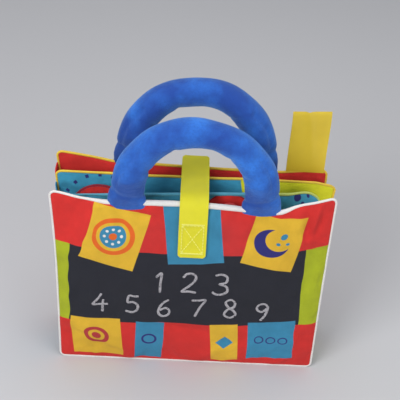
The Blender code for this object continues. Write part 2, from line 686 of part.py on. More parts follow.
BUCKLE_PIVOT = (
    SOCKET_X + SOCKET_LENGTH / 2,
    leaf_y(2) + PAGE_THICKNESS / 2 + CLEARANCE + SOCKET_THICKNESS / 2, BELT_HEIGHT)

root = pivot("leaf_2_base", (0, leaf_y(2), 0))
leaf_1_turn = pivot("leaf_1_turn", (HINGE_X, leaf_y(1) + LEAF_PITCH / 2, 0), root)
front_cover_turn = pivot("front_cover_turn", (HINGE_X, leaf_y(0) + LEAF_PITCH / 2, 0), leaf_1_turn)
back_cover_turn = pivot("back_cover_turn", (HINGE_X, leaf_y(2) + LEAF_PITCH / 2, 0), root)
strap_lift = pivot("strap_lift", STRAP_PIVOT, front_cover_turn)
front_handle_tilt = pivot("front_handle_tilt", handle_pivot(0), front_cover_turn)
back_handle_tilt = pivot("back_handle_tilt", handle_pivot(BACK), back_cover_turn)
wheel_spin = pivot("wheel_spin", WHEEL_PIVOT, root)
flower_spin = pivot("flower_spin", FLOWER_PIVOT, leaf_1_turn)
buckle_slide = pivot("buckle_slide", BUCKLE_PIVOT, root)
slider_slide = pivot("zip_slide", SLIDER_PIVOT, back_cover_turn)
pull_swing = pivot("pull_swing", PULL_PIVOT, slider_slide)
bead_slides = []
for bead_number in range(BEAD_COUNT):
    bead_x = BEAD_ROW_X + (bead_number - (BEAD_COUNT - 1) / 2) * BEAD_SPACING
    bead_slides.append(pivot("bead_%d_slide" % (bead_number + 1), (bead_x, bead_y(), BEAD_HEIGHT), root))

leaf(0, RED_CLOTH, YELLOW_CLOTH, WHITE_PIPING, front_cover_turn)
leaf(1, TEAL_CLOTH, TEAL_CLOTH, TEAL_PIPING, leaf_1_turn)
leaf(2, LIME_CLOTH, LIME_CLOTH, YELLOW_PIPING, root)
leaf(BACK, RED_CLOTH, RED_CLOTH, YELLOW_PIPING, back_cover_turn)
gusset(0, TEAL_CLOTH, leaf_1_turn)
gusset(1, TEAL_CLOTH, root)
gusset(2, RED_CLOTH, root)
strap(LIME_WEBBING, HOOK_PAD, front_cover_turn, strap_lift)
loop_tab(HOOK_PAD, back_cover_turn)
handle("front_handle", 0, BLUE_PLUSH, front_handle_tilt)
handle("back_handle", BACK, BLUE_PLUSH, back_handle_tilt)
care_label(LABEL, back_cover_turn)
wheel(RED_CLOTH, WHITE_PLASTIC, root, wheel_spin)
beads((RED_PLASTIC, YELLOW_PLASTIC, GREEN_PLASTIC), WHITE_CORD, TEAL_CLOTH, root, bead_slides)
buckle(LIME_WEBBING, BLUE_PLASTIC, RED_CLOTH, root, buckle_slide)
flower(RED_FELT, YELLOW_PLASTIC, leaf_1_turn, flower_spin)
zipper(BLUE_TAPE, WHITE_PLASTIC, BLUE_PLASTIC, back_cover_turn, slider_slide, pull_swing)
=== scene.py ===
import contextlib
import math

import bpy
import bmesh
from mathutils import Matrix, Vector, noise
from mathutils.bvhtree import BVHTree


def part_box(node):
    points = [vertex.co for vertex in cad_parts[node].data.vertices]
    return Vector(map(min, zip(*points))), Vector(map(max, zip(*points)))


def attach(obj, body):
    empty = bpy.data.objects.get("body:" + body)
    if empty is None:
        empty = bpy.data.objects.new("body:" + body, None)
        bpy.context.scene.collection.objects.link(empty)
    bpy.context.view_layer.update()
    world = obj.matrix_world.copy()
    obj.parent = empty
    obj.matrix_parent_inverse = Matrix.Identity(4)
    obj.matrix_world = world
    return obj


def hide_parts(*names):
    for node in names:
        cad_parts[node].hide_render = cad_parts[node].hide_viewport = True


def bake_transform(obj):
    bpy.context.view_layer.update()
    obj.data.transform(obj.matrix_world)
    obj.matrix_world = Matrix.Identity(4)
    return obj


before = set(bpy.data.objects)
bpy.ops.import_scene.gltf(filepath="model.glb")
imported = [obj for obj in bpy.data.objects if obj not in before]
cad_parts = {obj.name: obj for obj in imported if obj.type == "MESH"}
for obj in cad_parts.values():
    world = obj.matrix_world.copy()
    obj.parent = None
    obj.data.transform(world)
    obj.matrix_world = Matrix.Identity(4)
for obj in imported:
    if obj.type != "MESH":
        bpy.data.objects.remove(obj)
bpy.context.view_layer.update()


# The room: a pale floor that turns up into a pale backdrop, soft light from the left and above,
# and a camera that looks down on the standing book from in front.
class Socket:
    """An output of a material's nodes that takes part in sums like a number."""

    def __init__(self, finish, output):
        self.finish = finish
        self.output = output

    def maths(self, operation, first, second=0.0, clamp=False):
        settings = {"operation": operation, "use_clamp": clamp}
        return self.finish.node("ShaderNodeMath", settings, {0: first, 1: second})

    def __add__(self, other):
        return self.maths("ADD", self, other)

    def __radd__(self, other):
        return self.maths("ADD", other, self)

    def __sub__(self, other):
        return self.maths("SUBTRACT", self, other)

    def __rsub__(self, other):
        return self.maths("SUBTRACT", other, self)

    def __mul__(self, other):
        return self.maths("MULTIPLY", self, other)

    def __abs__(self):
        return self.maths("ABSOLUTE", self)

    def clamped(self):
        return self.maths("ADD", self, 0.0, True)

    def high(self, other):
        return self.maths("MAXIMUM", self, other)

    def sine(self):
        return self.maths("SINE", self)

    def root(self):
        return self.maths("SQRT", self)

    def above(self, steepness=2000):
        """1 where this is above 0 and 0 where it is below; the step is half a millimetre wide."""
        return (0.5 + self * steepness).clamped()


class Finish:
    """A material with a Principled shader and the nodes that feed it."""

    def __init__(self, name, roughness=0.85, sheen=0.0, **fixed):
        self.material = bpy.data.materials.new(name)
        self.material.use_nodes = True
        self.tree = self.material.node_tree
        self.shader = self.tree.nodes["Principled BSDF"]
        self.feed("Roughness", roughness)
        self.feed("Sheen Weight", sheen)
        for socket, value in fixed.items():
            self.feed(socket.replace("_", " "), value)

    def node(self, kind, settings=None, values=None, output=0):
        made = self.tree.nodes.new(kind)
        for key, value in (settings or {}).items():
            setattr(made, key, value)
        for key, value in (values or {}).items():
            self.link(made.inputs[key], value)
        return Socket(self, made.outputs[output])

    def link(self, entry, value):
        if isinstance(value, Socket):
            self.tree.links.new(value.output, entry)
        else:
            entry.default_value = value

    def feed(self, name, value):
        self.link(self.shader.inputs[name], value)

    def place(self, map_name=None):
        """Object coordinates, or a UV map, as (x, y, z, vector)."""
        if map_name:
            vector = self.node("ShaderNodeUVMap", {"uv_map": map_name})
        else:
            vector = self.node("ShaderNodeTexCoord", output="Object")
        parts = self.tree.nodes.new("ShaderNodeSeparateXYZ")
        self.tree.links.new(vector.output, parts.inputs[0])
        return [Socket(self, parts.outputs[axis]) for axis in range(3)] + [vector]

    def noise(self, vector, scale, detail=3.0, roughness=0.5):
        values = {"Vector": vector, "Scale": scale, "Detail": detail, "Roughness": roughness}
        return self.node("ShaderNodeTexNoise", {}, values, "Fac")

    def mix(self, share, first, second):
        """Colour first where share is 0 and second where it is 1."""
        settings = {"data_type": "RGBA", "clamp_factor": True}
        return self.node("ShaderNodeMix", settings, {0: share, 6: first, 7: second}, 2)

    def marked(self, ink, marks):
        """Print marks, each a mask and a colour, one over the other."""
        for mask, colour in marks:
            ink = self.mix(mask, ink, colour)
        return ink

    def scale(self, colour, factor):
        """The colour, darker or lighter by a factor."""
        colour = colour if isinstance(colour, Socket) else colour[:3]
        return self.node("ShaderNodeVectorMath", {"operation": "SCALE"}, {0: colour, 3: factor})

    def bump(self, height, depth, strength=1.0):
        """Raise the surface by height, which runs from 0 to 1, times depth in metres."""
        values = {"Height": height, "Distance": depth, "Strength": strength}
        if self.shader.inputs["Normal"].is_linked:
            values["Normal"] = Socket(self, self.shader.inputs["Normal"].links[0].from_socket)
        self.feed("Normal", self.node("ShaderNodeBump", {}, values))


def deselect():
    if bpy.context.object and bpy.context.object.mode != "OBJECT":
        bpy.ops.object.mode_set(mode="OBJECT")
    bpy.ops.object.select_all(action="DESELECT")


def placed(name, data):
    """A new object in the scene that holds this data."""
    made = bpy.data.objects.new(name, data)
    bpy.context.scene.collection.objects.link(made)
    return made


paper = Finish("studio_paper", roughness=0.9)
paper.feed("Base Color", (0.58, 0.58, 0.60, 1))
deselect()
bpy.ops.mesh.primitive_plane_add(size=6, location=(0, 0, 0))
backdrop = bpy.context.object
backdrop.name = "backdrop"
bpy.ops.object.mode_set(mode="EDIT")
bpy.ops.mesh.select_mode(type="EDGE")
bpy.ops.mesh.select_all(action="DESELECT")
bpy.ops.object.mode_set(mode="OBJECT")
for edge in backdrop.data.edges:
    ends = [backdrop.data.vertices[index].co.y for index in edge.vertices]
    edge.select = min(ends) > 0
bpy.ops.object.mode_set(mode="EDIT")
bpy.ops.mesh.extrude_region_move(TRANSFORM_OT_translate={"value": (0, 0, 3)})
bpy.ops.mesh.select_all(action="SELECT")
bpy.ops.object.mode_set(mode="OBJECT")
bend = backdrop.modifiers.new("bend", "BEVEL")
bend.width = 1.2
bend.segments = 12
bpy.ops.object.modifier_apply(modifier="bend")
bpy.ops.object.shade_smooth()
backdrop.data.materials.append(paper.material)

photo_width = 400
photo_focal_length = 962
camera_turn = math.radians(-1.0)
camera_rise = math.radians(33.9)
camera_roll = math.radians(3.4)
camera_reach = 0.866
camera_aim = Vector((0.0053, 0, 0.167))
away = Vector((math.sin(camera_turn) * math.cos(camera_rise),
               -math.cos(camera_turn) * math.cos(camera_rise), math.sin(camera_rise)))
lens = bpy.data.cameras.new("camera")
lens.sensor_width = 36
lens.lens = photo_focal_length * lens.sensor_width / photo_width
camera = placed("camera", lens)
camera.location = camera_aim + away * camera_reach
look = (-away).to_track_quat("-Z", "Y").to_matrix().to_4x4()
camera.matrix_world = Matrix.Translation(camera.location) @ look @ Matrix.Rotation(camera_roll, 4, "Z")
bpy.context.scene.camera = camera

for name, place, size, power in (
        ("window_light", (-0.9, -1.2, 1.1), 0.9, 18),
        ("fill_light", (1.2, -1.3, 0.7), 1.3, 8.5),
        ("top_light", (0.1, 0.0, 1.7), 1.5, 13)):
    lamp = bpy.data.lights.new(name, "AREA")
    lamp.energy = power
    lamp.size = size
    light = placed(name, lamp)
    light.location = place
    light.rotation_euler = (Vector((0, 0, 0.12)) - Vector(place)).to_track_quat("-Z", "Y").to_euler()
world = bpy.data.worlds.new("room")
bpy.context.scene.world = world
world.use_nodes = True
world.node_tree.nodes["Background"].inputs["Color"].default_value = (0.92, 0.95, 1.0, 1)
world.node_tree.nodes["Background"].inputs["Strength"].default_value = 0.30
bpy.context.scene.view_settings.view_transform = "Standard"


# The four padded leaves. Each is two printed cotton skins sewn face to face round a layer of
# polyester wadding and turned, so the faces are crowned and pucker where they meet the seam. The
# free top edges lift and dip, and their corners spread and curl.
thread_pitch = 0.00045


def cotton(name, paint):
    """Printed plain-weave cotton; paint gives the printed colour from the cloth's own (u, v)."""
    cloth = Finish(name, roughness=0.82, sheen=0.04, Specular_IOR_Level=0.25)
    u, v = cloth.place("cloth")[:2]
    solid = cloth.place()[-1]
    ink = paint(cloth, u, v)
    blotch = cloth.noise(solid, 70, 4, 0.6)
    fade = cloth.noise(solid, 16, 2)
    turn = 2 * math.pi / thread_pitch
    weave = (u * turn).sine() * (v * turn).sine()
    ink = cloth.scale(ink, 1 + (fade - 0.5) * 0.35 - (blotch - 0.45) * 0.35 - weave * 0.05)
    cloth.feed("Base Color", ink)
    cloth.feed("Roughness", fade * 0.2 + 0.72)
    cloth.bump(cloth.noise(solid, 55, 4, 0.55), 0.0016, 0.55)
    cloth.bump(weave * 0.5 + 0.5, 0.00010)
    return cloth.material


def patch_mask(u, v, middle, size, turn=0.0):
    """1 inside a turned rectangle on the cloth, in metres."""
    cosine, sine = math.cos(math.radians(turn)), math.sin(math.radians(turn))
    right, over = u - middle[0], v - middle[1]
    across = right * cosine + over * sine
    up = over * cosine - right * sine
    outside = (abs(across) - size[0] / 2).high(abs(up) - size[1] / 2)
    return (outside * -1).above()


def distance(u, v, middle):
    """How far a place on the cloth is from a middle."""
    across, up = u - middle[0], v - middle[1]
    return (across * across + up * up).root()


def bearing(u, v, middle):
    """The angle of a place on the cloth round a middle."""
    return u.maths("ARCTAN2", v - middle[1], u - middle[0])


def disc_mask(u, v, middle, radius):
    """1 inside a circle on the cloth, in metres."""
    return (radius - distance(u, v, middle)).above()


def ring_mask(u, v, middle, radius, width):
    """1 on a ring."""
    return disc_mask(u, v, middle, radius + width / 2) - disc_mask(u, v, middle, radius - width / 2)


red_ink = (0.66, 0.030, 0.026, 1)
# Dull red: print on the picture patches and the back cover's pocket, and painted reflection on the front
# cover's upper band.
dull_red_ink_and_reflection = (0.47, 0.040, 0.045, 1)
charcoal_ink = (0.020, 0.021, 0.030, 1)
lime_ink = (0.40, 0.46, 0.018, 1)
yellow_ink = (0.76, 0.46, 0.035, 1)
teal_ink = (0.045, 0.25, 0.42, 1)
# Teal darkened as painted shade: the base of leaf 2's front below its painted-light top.
shaded_teal_ink = (0.010, 0.125, 0.235, 1)
navy_ink = (0.030, 0.030, 0.18, 1)
orange_ink = (0.78, 0.14, 0.02, 1)
white_ink = (0.80, 0.79, 0.75, 1)


def front_cover_print(cloth, u, v):
    """Chalkboard panel framed by red bands and lime strips, with tilted picture patches; dull red blotches on
    the upper band are painted reflection.
    """
    sway = u * u * 0.45 + u * 0.02
    band = (v - sway - 0.1305).above()
    low_band = (0.0535 - v + u * 0.03).above()
    side = (abs(u + 0.0045) - 0.1045 + (v - 0.09) * 0.03).above()
    shade = (cloth.noise(cloth.place("cloth")[-1], 9, 1) - 0.42) * 3
    patches = (
        ((-0.0680, 0.144), (0.050, 0.0575), -13.8, yellow_ink),
        ((0.0012, 0.150), (0.0495, 0.0575), 6.5, teal_ink),
        ((0.0708, 0.146), (0.0455, 0.0535), -12.8, yellow_ink),
        ((-0.0845, 0.031), (0.047, 0.048), 1.5, yellow_ink),
        ((-0.0355, 0.029), (0.026, 0.048), -3.0, teal_ink),
        ((0.0345, 0.031), (0.025, 0.050), 5.0, yellow_ink),
        ((0.0775, 0.036), (0.044, 0.048), 4.0, teal_ink))
    # Dull red blotches over the red band below 168 mm are painted reflection that dulls and darkens the red.
    marks = [(side, lime_ink), (band.high(low_band), red_ink),
             (band * shade * (0.168 - v).above(60), dull_red_ink_and_reflection)]
    marks += [(patch_mask(u, v, middle, size, turn), colour) for middle, size, turn, colour in patches]
    rosette = (-0.068, 0.145)
    marks += [(ring_mask(u, v, rosette, 0.0165, 0.0042), orange_ink),
              (disc_mask(u, v, rosette, 0.0112), teal_ink)]
    for petal in range(8):
        angle = petal * math.pi / 4
        dot = (rosette[0] + 0.0072 * math.cos(angle), rosette[1] + 0.0072 * math.sin(angle))
        marks.append((disc_mask(u, v, dot, 0.0013), white_ink))
    moon = disc_mask(u, v, (0.069, 0.147), 0.0155) - disc_mask(u, v, (0.0755, 0.1505), 0.0125)
    marks += [(disc_mask(u, v, rosette, 0.0034), orange_ink), (moon.clamped(), navy_ink)]
    for dot, radius in (((0.0795, 0.1545), 0.0030), ((0.0745, 0.1465), 0.0020), ((0.0825, 0.1455), 0.0016)):
        marks.append((disc_mask(u, v, dot, radius), teal_ink))
    marks += [(ring_mask(u, v, (-0.0845, 0.033), 0.0100, 0.0040), dull_red_ink_and_reflection),
              (disc_mask(u, v, (-0.0845, 0.033), 0.0045), dull_red_ink_and_reflection),
              (ring_mask(u, v, (-0.0355, 0.032), 0.0060, 0.0020), navy_ink),
              (patch_mask(u, v, (0.0345, 0.032), (0.0115, 0.0115), 45), teal_ink)]
    marks += [(ring_mask(u, v, (0.0665 + 0.011 * number, 0.037), 0.0040, 0.0012), navy_ink)
              for number in range(3)]
    return cloth.marked(charcoal_ink, marks)


def tile_print(cloth, u, v):
    """Cover lining: yellow with a block of coloured squares."""
    marks = [(patch_mask(u, v, (0, 0.09), (0.200, 0.138)), white_ink)]
    for number, colour in enumerate((red_ink, teal_ink, lime_ink, orange_ink, navy_ink, yellow_ink)):
        middle = (-0.060 + 0.060 * (number % 3), 0.124 - 0.066 * (number // 3))
        marks.append((patch_mask(u, v, middle, (0.046, 0.046), 4 * (-1) ** number), colour))
    return cloth.marked(yellow_ink, marks)


def garden_print(cloth, u, v):
    """Leaf 1 front: teal sky, rolling ground, a stem for the felt flower and a red disc with a rim of painted
    shade.
    """
    hill = (0.058 - v - u * u * 1.6 + u * 0.06).above()
    near = (0.032 - v + (u + 0.05) * (u + 0.05) * 1.1).above()
    # The dark red ring round the red disc is painted shade at its edge, so the flat print looks domed.
    marks = [(disc_mask(u, v, (0.030, 0.1585), 0.0236), (0.30, 0.014, 0.03, 1)),
             (disc_mask(u, v, (0.030, 0.1580), 0.0228), red_ink)]
    for middle, radius in (((0.093, 0.1775), 0.0036), ((0.1045, 0.1790), 0.0018), ((0.0985, 0.1715), 0.0022)):
        marks.append((disc_mask(u, v, middle, radius), navy_ink))
    marks.append((patch_mask(u, v, (0.032, 0.092), (0.0052, 0.090)), lime_ink))
    for middle in ((0.020, 0.088), (0.044, 0.074)):
        stretch = (v - middle[1]) * 2 + middle[1]
        marks.append((disc_mask(u, stretch, middle, 0.012), lime_ink))
    marks += [(hill, lime_ink), (near, (0.10, 0.26, 0.03, 1))]
    for middle, radius in (((-0.070, 0.146), 0.013), ((-0.056, 0.149), 0.016), ((-0.041, 0.145), 0.012)):
        marks.append((disc_mask(u, v, middle, radius), white_ink))
    return cloth.marked((0.055, 0.32, 0.50, 1), marks)


def wave_print(cloth, u, v):
    """Leaf 1 back: teal with paler waves and a yellow sun."""
    height = (v * 175 + (u * 95).sine() * 0.9).sine()
    return cloth.marked(teal_ink, [((height * 4 - 1.5).clamped(), (0.16, 0.46, 0.60, 1)),
                                   (disc_mask(u, v, (0.058, 0.135), 0.021), yellow_ink)])


wheel_spot = (-0.085, 0.1505)


def counting_print(cloth, u, v):
    """Leaf 2 front: teal left, lighter at the top (painted light) and deep below (painted shade); lime right; a
    bead panel.
    """
    lime_side = (u - 0.052 + (v - 0.09) * 0.12).above()
    turn, reach = bearing(u, v, wheel_spot), distance(u, v, wheel_spot)
    rays = ((turn * 17).sine() * 6 - 3.6).clamped() * (0.0015 - abs(reach - 0.0308)).above()
    # Lighter teal towards the top of the left side is painted light; the deep teal base below it is painted
    # shade.
    marks = [(lime_side, (0.78, 0.76, 0.025, 1)),
             ((v - 0.140).above(22) * (1 - lime_side), (0.050, 0.32, 0.50, 1)),
             (patch_mask(u, v, (0.010, 0.080), (0.176, 0.036)), white_ink),
             (patch_mask(u, v, (0.010, 0.080), (0.170, 0.030)), yellow_ink),
             (rays, navy_ink)]
    for number in range(3):
        middle = (-0.030 + 0.040 * number, 0.034)
        marks += [(disc_mask(u, v, middle, 0.0095), orange_ink), (disc_mask(u, v, middle, 0.0050), white_ink)]
    return cloth.marked(shaded_teal_ink, marks)


def stripe_print(cloth, u, v):
    """Leaf 2 back: lime with paler stripes above and below the belt."""
    bars = ((abs(v - 0.092) * 230).sine() - 0.1).above(6)
    away = (abs(v - 0.100) - 0.028).above()
    return cloth.mix(bars * away, lime_ink, (0.62, 0.66, 0.20, 1))


def pocket_print(cloth, u, v):
    """Back cover inside: red, a teal pocket front edged in yellow below and a dull patch above."""
    return cloth.marked(red_ink, [(patch_mask(u, v, (0, 0.034), (0.176, 0.046)), yellow_ink),
                                  (patch_mask(u, v, (0, 0.034), (0.170, 0.040)), teal_ink),
                                  (patch_mask(u, v, (0, 0.120), (0.120, 0.070), 2), dull_red_ink_and_reflection)])


def dot_print(cloth, u, v):
    """Back cover outside: red with small yellow dots set in rows."""
    turn = math.pi / 0.022
    rows = (u * turn).sine() * (v * turn).sine()
    return cloth.mix(((abs(rows) - 0.955) * 60).clamped(), red_ink, yellow_ink)


@contextlib.contextmanager
def editing():
    """Work on the mesh of the active piece, with all of it selected."""
    bpy.ops.object.mode_set(mode="EDIT")
    bpy.ops.mesh.select_all(action="SELECT")
    yield
    bpy.ops.object.mode_set(mode="OBJECT")


def cloth_uv(piece):
    """Lay the print on a flat upright piece: u runs along X and v up Z, in metres."""
    layer = piece.data.uv_layers.new(name="cloth")
    for loop in piece.data.loops:
        corner = piece.data.vertices[loop.vertex_index].co
        layer.data[loop.index].uv = (corner.x, corner.z)


def round_off(x, z, half_width, half_height, radius):
    """Draw a place in a corner square in to the round corner."""
    over_x = abs(x) - half_width + radius
    over_z = abs(z) - half_height + radius
    if over_x <= 0 or over_z <= 0:
        return x, z
    share = max(over_x, over_z) / math.hypot(over_x, over_z)
    return (math.copysign(half_width - radius + over_x * share, x),
            math.copysign(half_height - radius + over_z * share, z))


smoothing_steps = (-0.004, -0.002, 0, 0.002, 0.004)
leaf_half_width = 0.122


def lifted(x, edge):
    """How far a leaf's top edge stands above its cut height at x, smoothed over a few millimetres."""
    total = 0.0
    for shift in smoothing_steps:
        place = min(max(x + shift, edge[0][0]), edge[-1][0])
        for (start, low), (end, high) in zip(edge, edge[1:]):
            if place <= end:
                total += low + (high - low) * (place - start) / (end - start)
                break
    return total / len(smoothing_steps)


def settled(place, top, shape):
    """Where a point of a leaf comes to rest: its top edge lifts, its corners spread, curl and fold."""
    edge, spread, curl, sway, folds = shape
    height = min(max(place.z / top, 0), 1.02)
    across = place.x / leaf_half_width
    side = 1 if across > 0 else 0
    belly = sway * math.sin(math.pi * min(height, 1) ** 1.4) * math.cos(across * 1.5)
    belly += noise.noise(Vector((place.x * 14, sway * 900, place.z * 11))) * 0.0009 * height
    belly += curl[side] * max(abs(across) - 0.72, 0) / 0.28 * height ** 5
    for x, z, lean, slope in folds:
        beyond = (place.x - x) * math.cos(lean) - (place.z - z) * math.sin(lean)
        belly += slope * (beyond + math.hypot(beyond, 0.0010)) / 2 * height ** 8
    return place + Vector((spread[side] * (2 * side - 1) * abs(across) ** 6 * height ** 4,
                           belly, lifted(place.x, edge) * height ** 3))


def to_rim(x, z, half_width, half_height, radius):
    """How far a place is inside a round-cornered outline."""
    over_x = max(abs(x) - half_width + radius, 0)
    over_z = max(abs(z) - half_height + radius, 0)
    if over_x and over_z:
        return radius - math.hypot(over_x, over_z)
    return min(half_width - abs(x), half_height - abs(z))


def puckers(x, z, near, sideways, seed):
    """Gathers that run in from the seam, 1 deep at most."""
    along, inward = (z, x) if sideways else (x, z)
    fine = abs(noise.noise(Vector((along * 105, inward * 16, seed)))) * 1.7
    broad = abs(noise.noise(Vector((along * 42, inward * 20, seed + 9)))) * 1.7
    return (1 - fine) ** 3 * math.exp(-near / 0.009) * 0.75 + (1 - broad) ** 4 * math.exp(-near / 0.022) * 0.6


def creased(x, z, creases):
    """Height of the soft folds at a place, from (x, z, x, z, height, width) lines."""
    total = 0.0
    for start_x, start_z, end_x, end_z, height, width in creases:
        run_x, run_z = end_x - start_x, end_z - start_z
        share = min(max(((x - start_x) * run_x + (z - start_z) * run_z) / (run_x ** 2 + run_z ** 2), 0), 1)
        far = math.hypot(x - start_x - share * run_x, z - start_z - share * run_z)
        taper = 0.35 + 0.65 * math.sin(math.pi * (0.15 + 0.7 * share))
        total += height * math.exp(-(far / width) ** 2) * taper
    return total


def padded_leaf(body, prints, shape, looseness, seed):
    """Two skins and their wadding, puffed up by pressure inside a fixed seam."""
    low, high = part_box(body + "_batting")
    front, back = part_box(body + "_front_skin")[0].y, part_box(body + "_back_skin")[1].y
    middle = (front + back) / 2
    crown = (back - front) / 2
    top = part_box(body + "_piping")[1].z
    tuck = 0.0030
    seam_line = 0.0007
    puffing_steps = 20
    half_width = (high.x - low.x) / 2 + tuck
    half_height = (high.z - low.z) / 2 + tuck
    centre = (low.z + high.z) / 2
    corner = 0.0030
    edge = 0.0030
    rim_half = 0.0008
    deselect()
    bpy.ops.mesh.primitive_grid_add(x_subdivisions=72, y_subdivisions=54, size=1)
    leaf = bpy.context.object
    leaf.name = body + "_padding"
    for vert in leaf.data.vertices:
        across, up = vert.co.x * 2, vert.co.y * 2
        across = 0.55 * across + 0.45 * math.sin(across * math.pi / 2)
        up = 0.55 * up + 0.45 * math.sin(up * math.pi / 2)
        x, z = round_off(across * half_width, up * half_height, half_width, half_height, corner)
        vert.co = (x, -rim_half, z + centre)
    with editing():
        bpy.ops.mesh.extrude_region_move(TRANSFORM_OT_translate={"value": (0, 2 * rim_half, 0)})
        bpy.ops.mesh.select_all(action="SELECT")
        bpy.ops.mesh.normals_make_consistent(inside=False)
    cloth_uv(leaf)
    seam = leaf.vertex_groups.new(name="seam")
    flat = [vert.co.copy() for vert in leaf.data.vertices]
    rims = [to_rim(start.x, start.z - centre, half_width, half_height, corner) for start in flat]
    seam.add([index for index, rim in enumerate(rims) if rim < seam_line], 1.0, "REPLACE")
    for vert in leaf.data.vertices:
        vert.co.y *= 1.6 + 0.6 * noise.noise(vert.co * 60 + Vector((seed, 0, 0)))
    stuffing = leaf.modifiers.new("stuffing", "CLOTH")
    for setting, value in {
            "quality": 5, "mass": 0.12, "tension_stiffness": 12, "compression_stiffness": 6,
            "shear_stiffness": 4, "bending_stiffness": 0.02, "shrink_min": -0.07, "use_pressure": True,
            "uniform_pressure_force": 3, "vertex_group_mass": "seam"}.items():
        setattr(stuffing.settings, setting, value)
    stuffing.settings.effector_weights.gravity = 0
    stuffing.collision_settings.use_collision = False
    for step in range(1, puffing_steps + 1):
        bpy.context.scene.frame_set(step)
    bpy.ops.object.modifier_apply(modifier="stuffing")
    bpy.context.scene.frame_set(1)
    puffed = [abs(vert.co.y) for vert in leaf.data.vertices]
    for vert, start, swell in zip(leaf.data.vertices, flat, puffed):
        side = math.copysign(1, start.y)
        x, z = start.x, start.z - centre
        near = max(to_rim(x, z, half_width, half_height, corner), 0)
        bulge = (1 - min(abs(x) / half_width, 1) ** 4) * (1 - min(abs(z) / half_height, 1) ** 4)
        full = edge + (crown - edge) * bulge
        inner = min(near / 0.030, 1)
        give = looseness[0] if side < 0 else looseness[1]
        gather = puckers(x, z, near, abs(x) / half_width > abs(z) / half_height, seed * 20 + side)
        dent = noise.noise(Vector((x * 26, side * 5 + seed, z * 26)))
        dent += 0.5 * noise.noise(Vector((x * 60, seed, z * 60)))
        loose = -0.0021 * gather * (1 - 0.5 * inner) + 0.0017 * give * (dent - 0.12)
        if body == "front_cover" and side < 0:
            loose += creased(start.x, start.z, cover_creases)
        loose += max(min(swell - full, 0.0008), -0.0016) * (0.25 + 0.45 * give) * (1 - 0.5 * inner)
        swell = rim_half + (full + loose - rim_half) * (1 - math.exp(-near / 0.0024))
        slide = (vert.co - start) * 0.7
        vert.co = start + Vector((slide.x, 0, slide.z))
        vert.co.y = middle + side * max(min(swell, crown + 0.0008 * give), rim_half)
        vert.co = settled(vert.co, top, shape)
    for number, paint in enumerate(prints):
        leaf.data.materials.append(cotton(body + ("_front_print", "_back_print")[number], paint))
    for polygon in leaf.data.polygons:
        polygon.material_index = 0 if polygon.normal.y < 0.35 else 1
    smooth = leaf.modifiers.new("smooth", "SUBSURF")
    smooth.levels = smooth.render_levels = 1
    bpy.ops.object.modifier_apply(modifier="smooth")
    bpy.ops.object.shade_smooth()
    leaf.vertex_groups.clear()
    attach(leaf, body)
    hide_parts(body + "_batting", body + "_front_skin", body + "_back_skin")
    return leaf


leaf_shapes = {
    "front_cover": (((-0.122, 0.0115), (-0.112, 0.0100), (-0.100, 0.0062), (-0.085, 0.0044), (-0.075, 0.0036),
                     (-0.040, 0.0050), (0.000, 0.0054), (0.030, 0.0042), (0.060, 0.0020), (0.074, 0.0012),
                     (0.0800, 0.0030), (0.0850, 0.0064), (0.093, 0.0098), (0.103, 0.0124), (0.114, 0.0170),
                     (0.122, 0.0200)), (0.0048, 0.0012), (0.0010, -0.0010), -0.0006, ()),
    "leaf_1": (((-0.122, -0.0100), (-0.100, -0.0075), (-0.082, -0.0062), (-0.041, -0.0031), (-0.013, -0.0012),
                (0.013, 0.0010), (0.043, 0.0020), (0.077, 0.0036), (0.098, 0.0040), (0.106, 0.0028),
                (0.114, -0.0015), (0.122, -0.0070)), (-0.001, -0.0100), (0.0, 0.0), 0.0006,
               ((0.086, 0.184, 0.35, 0.28),)),
    "leaf_2": (((-0.122, 0.0012), (-0.090, 0.0014), (-0.073, 0.0015), (-0.038, 0.0007), (0.015, 0.0015),
                (0.043, 0.0024), (0.077, 0.0026), (0.103, 0.0026), (0.113, -0.0030), (0.122, -0.0080)),
               (0.0048, 0.0085), (0.0, 0.0), -0.0004, ((0.101, 0.184, 0.44, 0.55),)),
    "back_cover": (((-0.122, 0.0090), (-0.100, 0.0048), (-0.074, -0.0008), (-0.030, -0.0020),
                    (0.020, -0.0030), (0.077, -0.0040), (0.092, -0.0024), (0.104, -0.0012),
                    (0.114, 0.0004), (0.122, -0.0006)),
                   (0.0065, 0.0000), (-0.0020, 0.0), 0.0006, ()),
}
cover_creases = (
    (0.0990, 0.177, 0.1010, 0.150, -0.0038, 0.0026), (0.1150, 0.178, 0.1060, 0.150, -0.0036, 0.0026),
    (0.1070, 0.174, 0.1035, 0.146, 0.0030, 0.0034), (0.0900, 0.173, 0.0940, 0.150, 0.0026, 0.0038),
    (-0.0860, 0.172, -0.0960, 0.148, 0.0028, 0.0048), (-0.1110, 0.172, -0.1120, 0.138, -0.0034, 0.0030),
    (-0.0990, 0.172, -0.1080, 0.158, -0.0030, 0.0034), (-0.0480, 0.168, -0.0340, 0.163, -0.0032, 0.0032),
    (0.0560, 0.168, 0.0480, 0.146, -0.0030, 0.0038), (-0.0620, 0.166, -0.0600, 0.148, -0.0028, 0.0038),
    (0.0250, 0.020, 0.0600, 0.030, 0.0018, 0.0060), (-0.1080, 0.060, -0.0950, 0.090, -0.0020, 0.0052),
    (0.1080, 0.118, 0.1000, 0.088, -0.0020, 0.0052), (-0.0300, 0.052, 0.0150, 0.046, -0.0018, 0.0046),
    (-0.0900, 0.012, -0.0750, 0.030, -0.0018, 0.0044), (0.0900, 0.012, 0.0800, 0.034, -0.0018, 0.0044))
leaf_prints = {
    "front_cover": ((front_cover_print, tile_print), (1.0, 0.8)),
    "leaf_1": ((garden_print, wave_print), (0.2, 0.8)),
    "leaf_2": ((counting_print, stripe_print), (0.15, 0.15)),
    "back_cover": ((pocket_print, dot_print), (0.15, 0.9)),
}
leaves = {body: padded_leaf(body, prints, leaf_shapes[body], looseness, number)
          for number, (body, (prints, looseness)) in enumerate(leaf_prints.items())}


